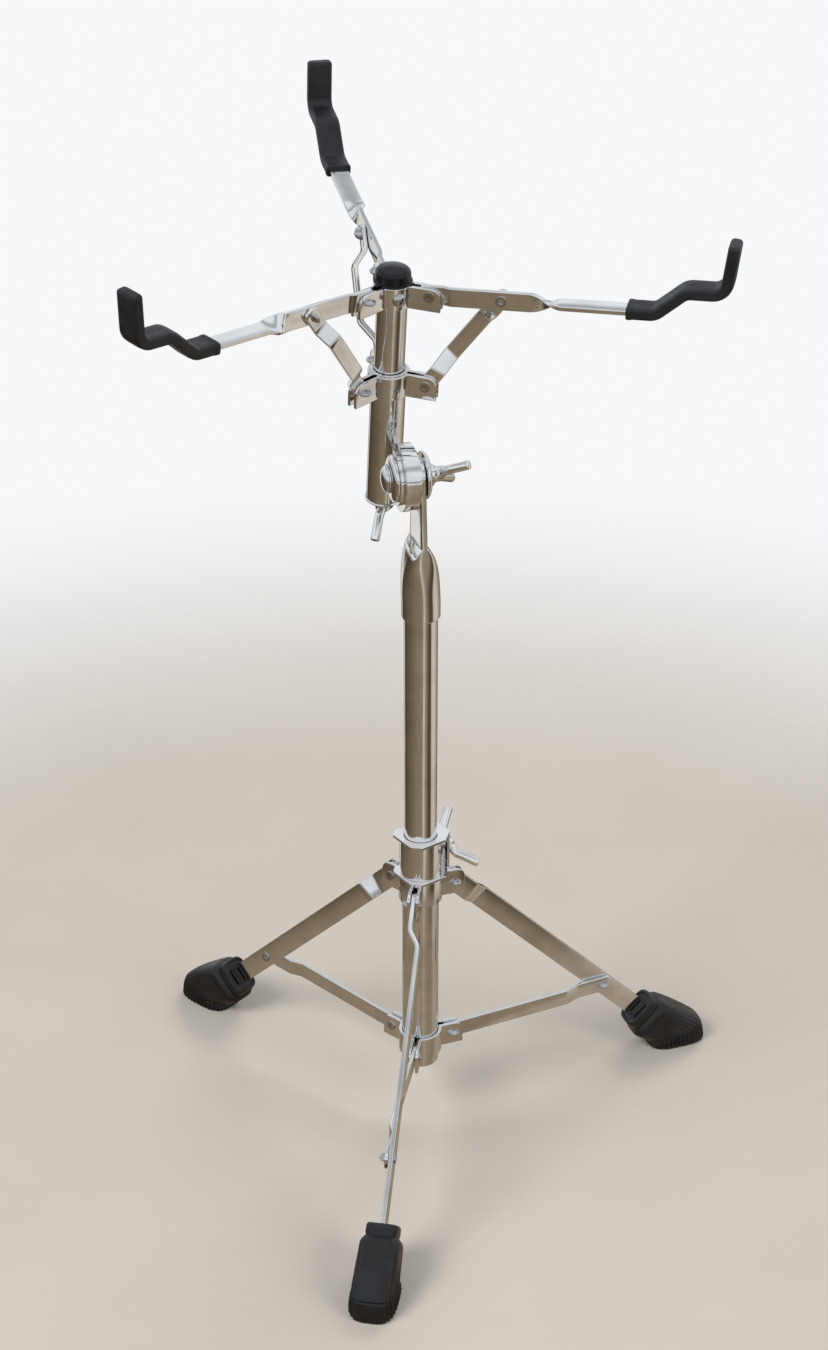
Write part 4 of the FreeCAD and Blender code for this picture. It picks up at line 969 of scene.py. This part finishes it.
def floor_paint():
    """Plain paint that fades into the backdrop, and shows warmer in the chrome, where a painted reflection glows
    in its place.
    """
    material, tree, surface, place = shader("floor_paint")
    paint = ramp(tree, noise(tree, place, FLOOR["grain"], detail=4), FLOOR["dark"], FLOOR["light"])
    tree.links.new(paint, surface.inputs["Base Color"])
    surface.inputs["Roughness"].default_value = FLOOR["roughness"]
    surface.inputs["Specular IOR Level"].default_value = 0
    length = tree.nodes.new("ShaderNodeVectorMath")
    length.operation = "LENGTH"
    tree.links.new(place, length.inputs[0])
    distance = length.outputs["Value"]
    fade = rescaled(tree, distance, "SMOOTHSTEP", From_Min=FLOOR["fade_from"], From_Max=FLOOR["fade_to"])
    backdrop = node(tree, "ShaderNodeEmission", Color=BACKDROP)
    faded = mixed_shader(tree, calculated(tree, "MULTIPLY", fade, shown(tree)), surface.outputs["BSDF"],
                         backdrop.outputs["Emission"])
    # Painted reflection: an emission that glossy rays see instead of the lit floor
    mirrored = tree.nodes.new("ShaderNodeEmission")
    tree.links.new(painted_floor_reflection(tree, place, distance), mirrored.inputs["Color"])
    either = mixed_shader(tree, light_path(tree, "Is Glossy Ray"), faded, mirrored.outputs["Emission"])
    tree.links.new(either, tree.nodes["Material Output"].inputs["Surface"])
    return material


floor_mesh = bpy.data.meshes.new("floor")
corners = [(x * FLOOR["half"], y * FLOOR["half"], 0) for x, y in ((-1, -1), (1, -1), (1, 1), (-1, 1))]
floor_mesh.from_pydata(corners, [], [(0, 1, 2, 3)])
floor_mesh.materials.append(floor_paint())
floor_item = bpy.data.objects.new("floor", floor_mesh)
bpy.context.scene.collection.objects.link(floor_item)

# Lamps: place, width, height and power. The camera doesn't see them and chrome doesn't mirror them
CENTRE = Vector((0, 0, 0.35))
LAMPS = {
    "key": ((-1.6, -1.5, 2.2), 1.4, 1.4, 48),
    "fill": ((1.9, -0.9, 1.3), 0.9, 1.6, 16),
    "rear": ((0.5, 2.0, 1.9), 1.6, 0.8, 22),
}
for name, (place, width, height, power) in LAMPS.items():
    lamp = bpy.data.lights.new(name, "AREA")
    lamp.shape = "RECTANGLE"
    lamp.size, lamp.size_y, lamp.energy = width, height, power
    item = bpy.data.objects.new(name, lamp)
    item.location = place
    item.rotation_euler = (CENTRE - Vector(place)).to_track_quat("-Z", "Y").to_euler()
    item.visible_camera = False
    item.visible_glossy = False
    bpy.context.scene.collection.objects.link(item)

# Sky: what lights the stand, what the camera sees and what chrome mirrors, a painted reflection of bright and dark
# bands, each by height
SKY = {"low": (0.86, 0.87, 0.90, 1), "high": (0.34, 0.35, 0.38, 1), "range": (0.05, 0.75), "strength": 0.55,
       "ceiling": (0.74, 0.77, 0.84, 1), "ceiling_range": (0.25, 0.9), "painted_reflection_tint": (0.90, 0.95, 1.0)}
# Painted reflection: bands of brightness by height that only chrome sees
PAINTED_SKY_BANDS = ((0.0, 0.30), (0.05, 0.42), (0.10, 0.92), (0.54, 1.00), (0.66, 0.56), (0.74, 0.52), (0.84, 0.98),
             (1.0, 1.0))
world = bpy.data.worlds.new("studio")
bpy.context.scene.world = world
world.use_nodes = True
sky = world.node_tree
direction = sky.nodes.new("ShaderNodeSeparateXYZ")
sky.links.new(sky.nodes.new("ShaderNodeTexCoord").outputs["Generated"], direction.inputs["Vector"])
upward = direction.outputs["Z"]
lighting = sky.nodes["Background"]
lighting.inputs["Strength"].default_value = SKY["strength"]
sky.links.new(ramp(sky, upward, SKY["low"], SKY["high"], *SKY["range"]), lighting.inputs["Color"])
backdrop_sky = ramp(sky, upward, BACKDROP, SKY["ceiling"], *SKY["ceiling_range"])
# Painted reflection for glossy rays only
painted_sky_reflection = banded(sky, upward, PAINTED_SKY_BANDS, SKY["painted_reflection_tint"])
visible = sky.nodes.new("ShaderNodeBackground")
sky.links.new(mixed(sky, light_path(sky, "Is Glossy Ray"), backdrop_sky, painted_sky_reflection), visible.inputs["Color"])
whole_sky = mixed_shader(sky, shown(sky), lighting.outputs["Background"], visible.outputs["Background"])
sky.links.new(whole_sky, sky.nodes["World Output"].inputs["Surface"])

# Camera
CAMERA = {"turn": (62.54, 0, 10.05), "sensor": 36, "lens": 58.41}
camera = bpy.data.objects.new("camera", bpy.data.cameras.new("camera"))
bpy.context.scene.collection.objects.link(camera)
camera.location = COLUMN + CAMERA_FROM_COLUMN
camera.rotation_euler = [math.radians(a) for a in CAMERA["turn"]]
camera.data.sensor_width = CAMERA["sensor"]
camera.data.lens = CAMERA["lens"]
bpy.context.scene.camera = camera
bpy.context.scene.view_settings.view_transform = "Standard"
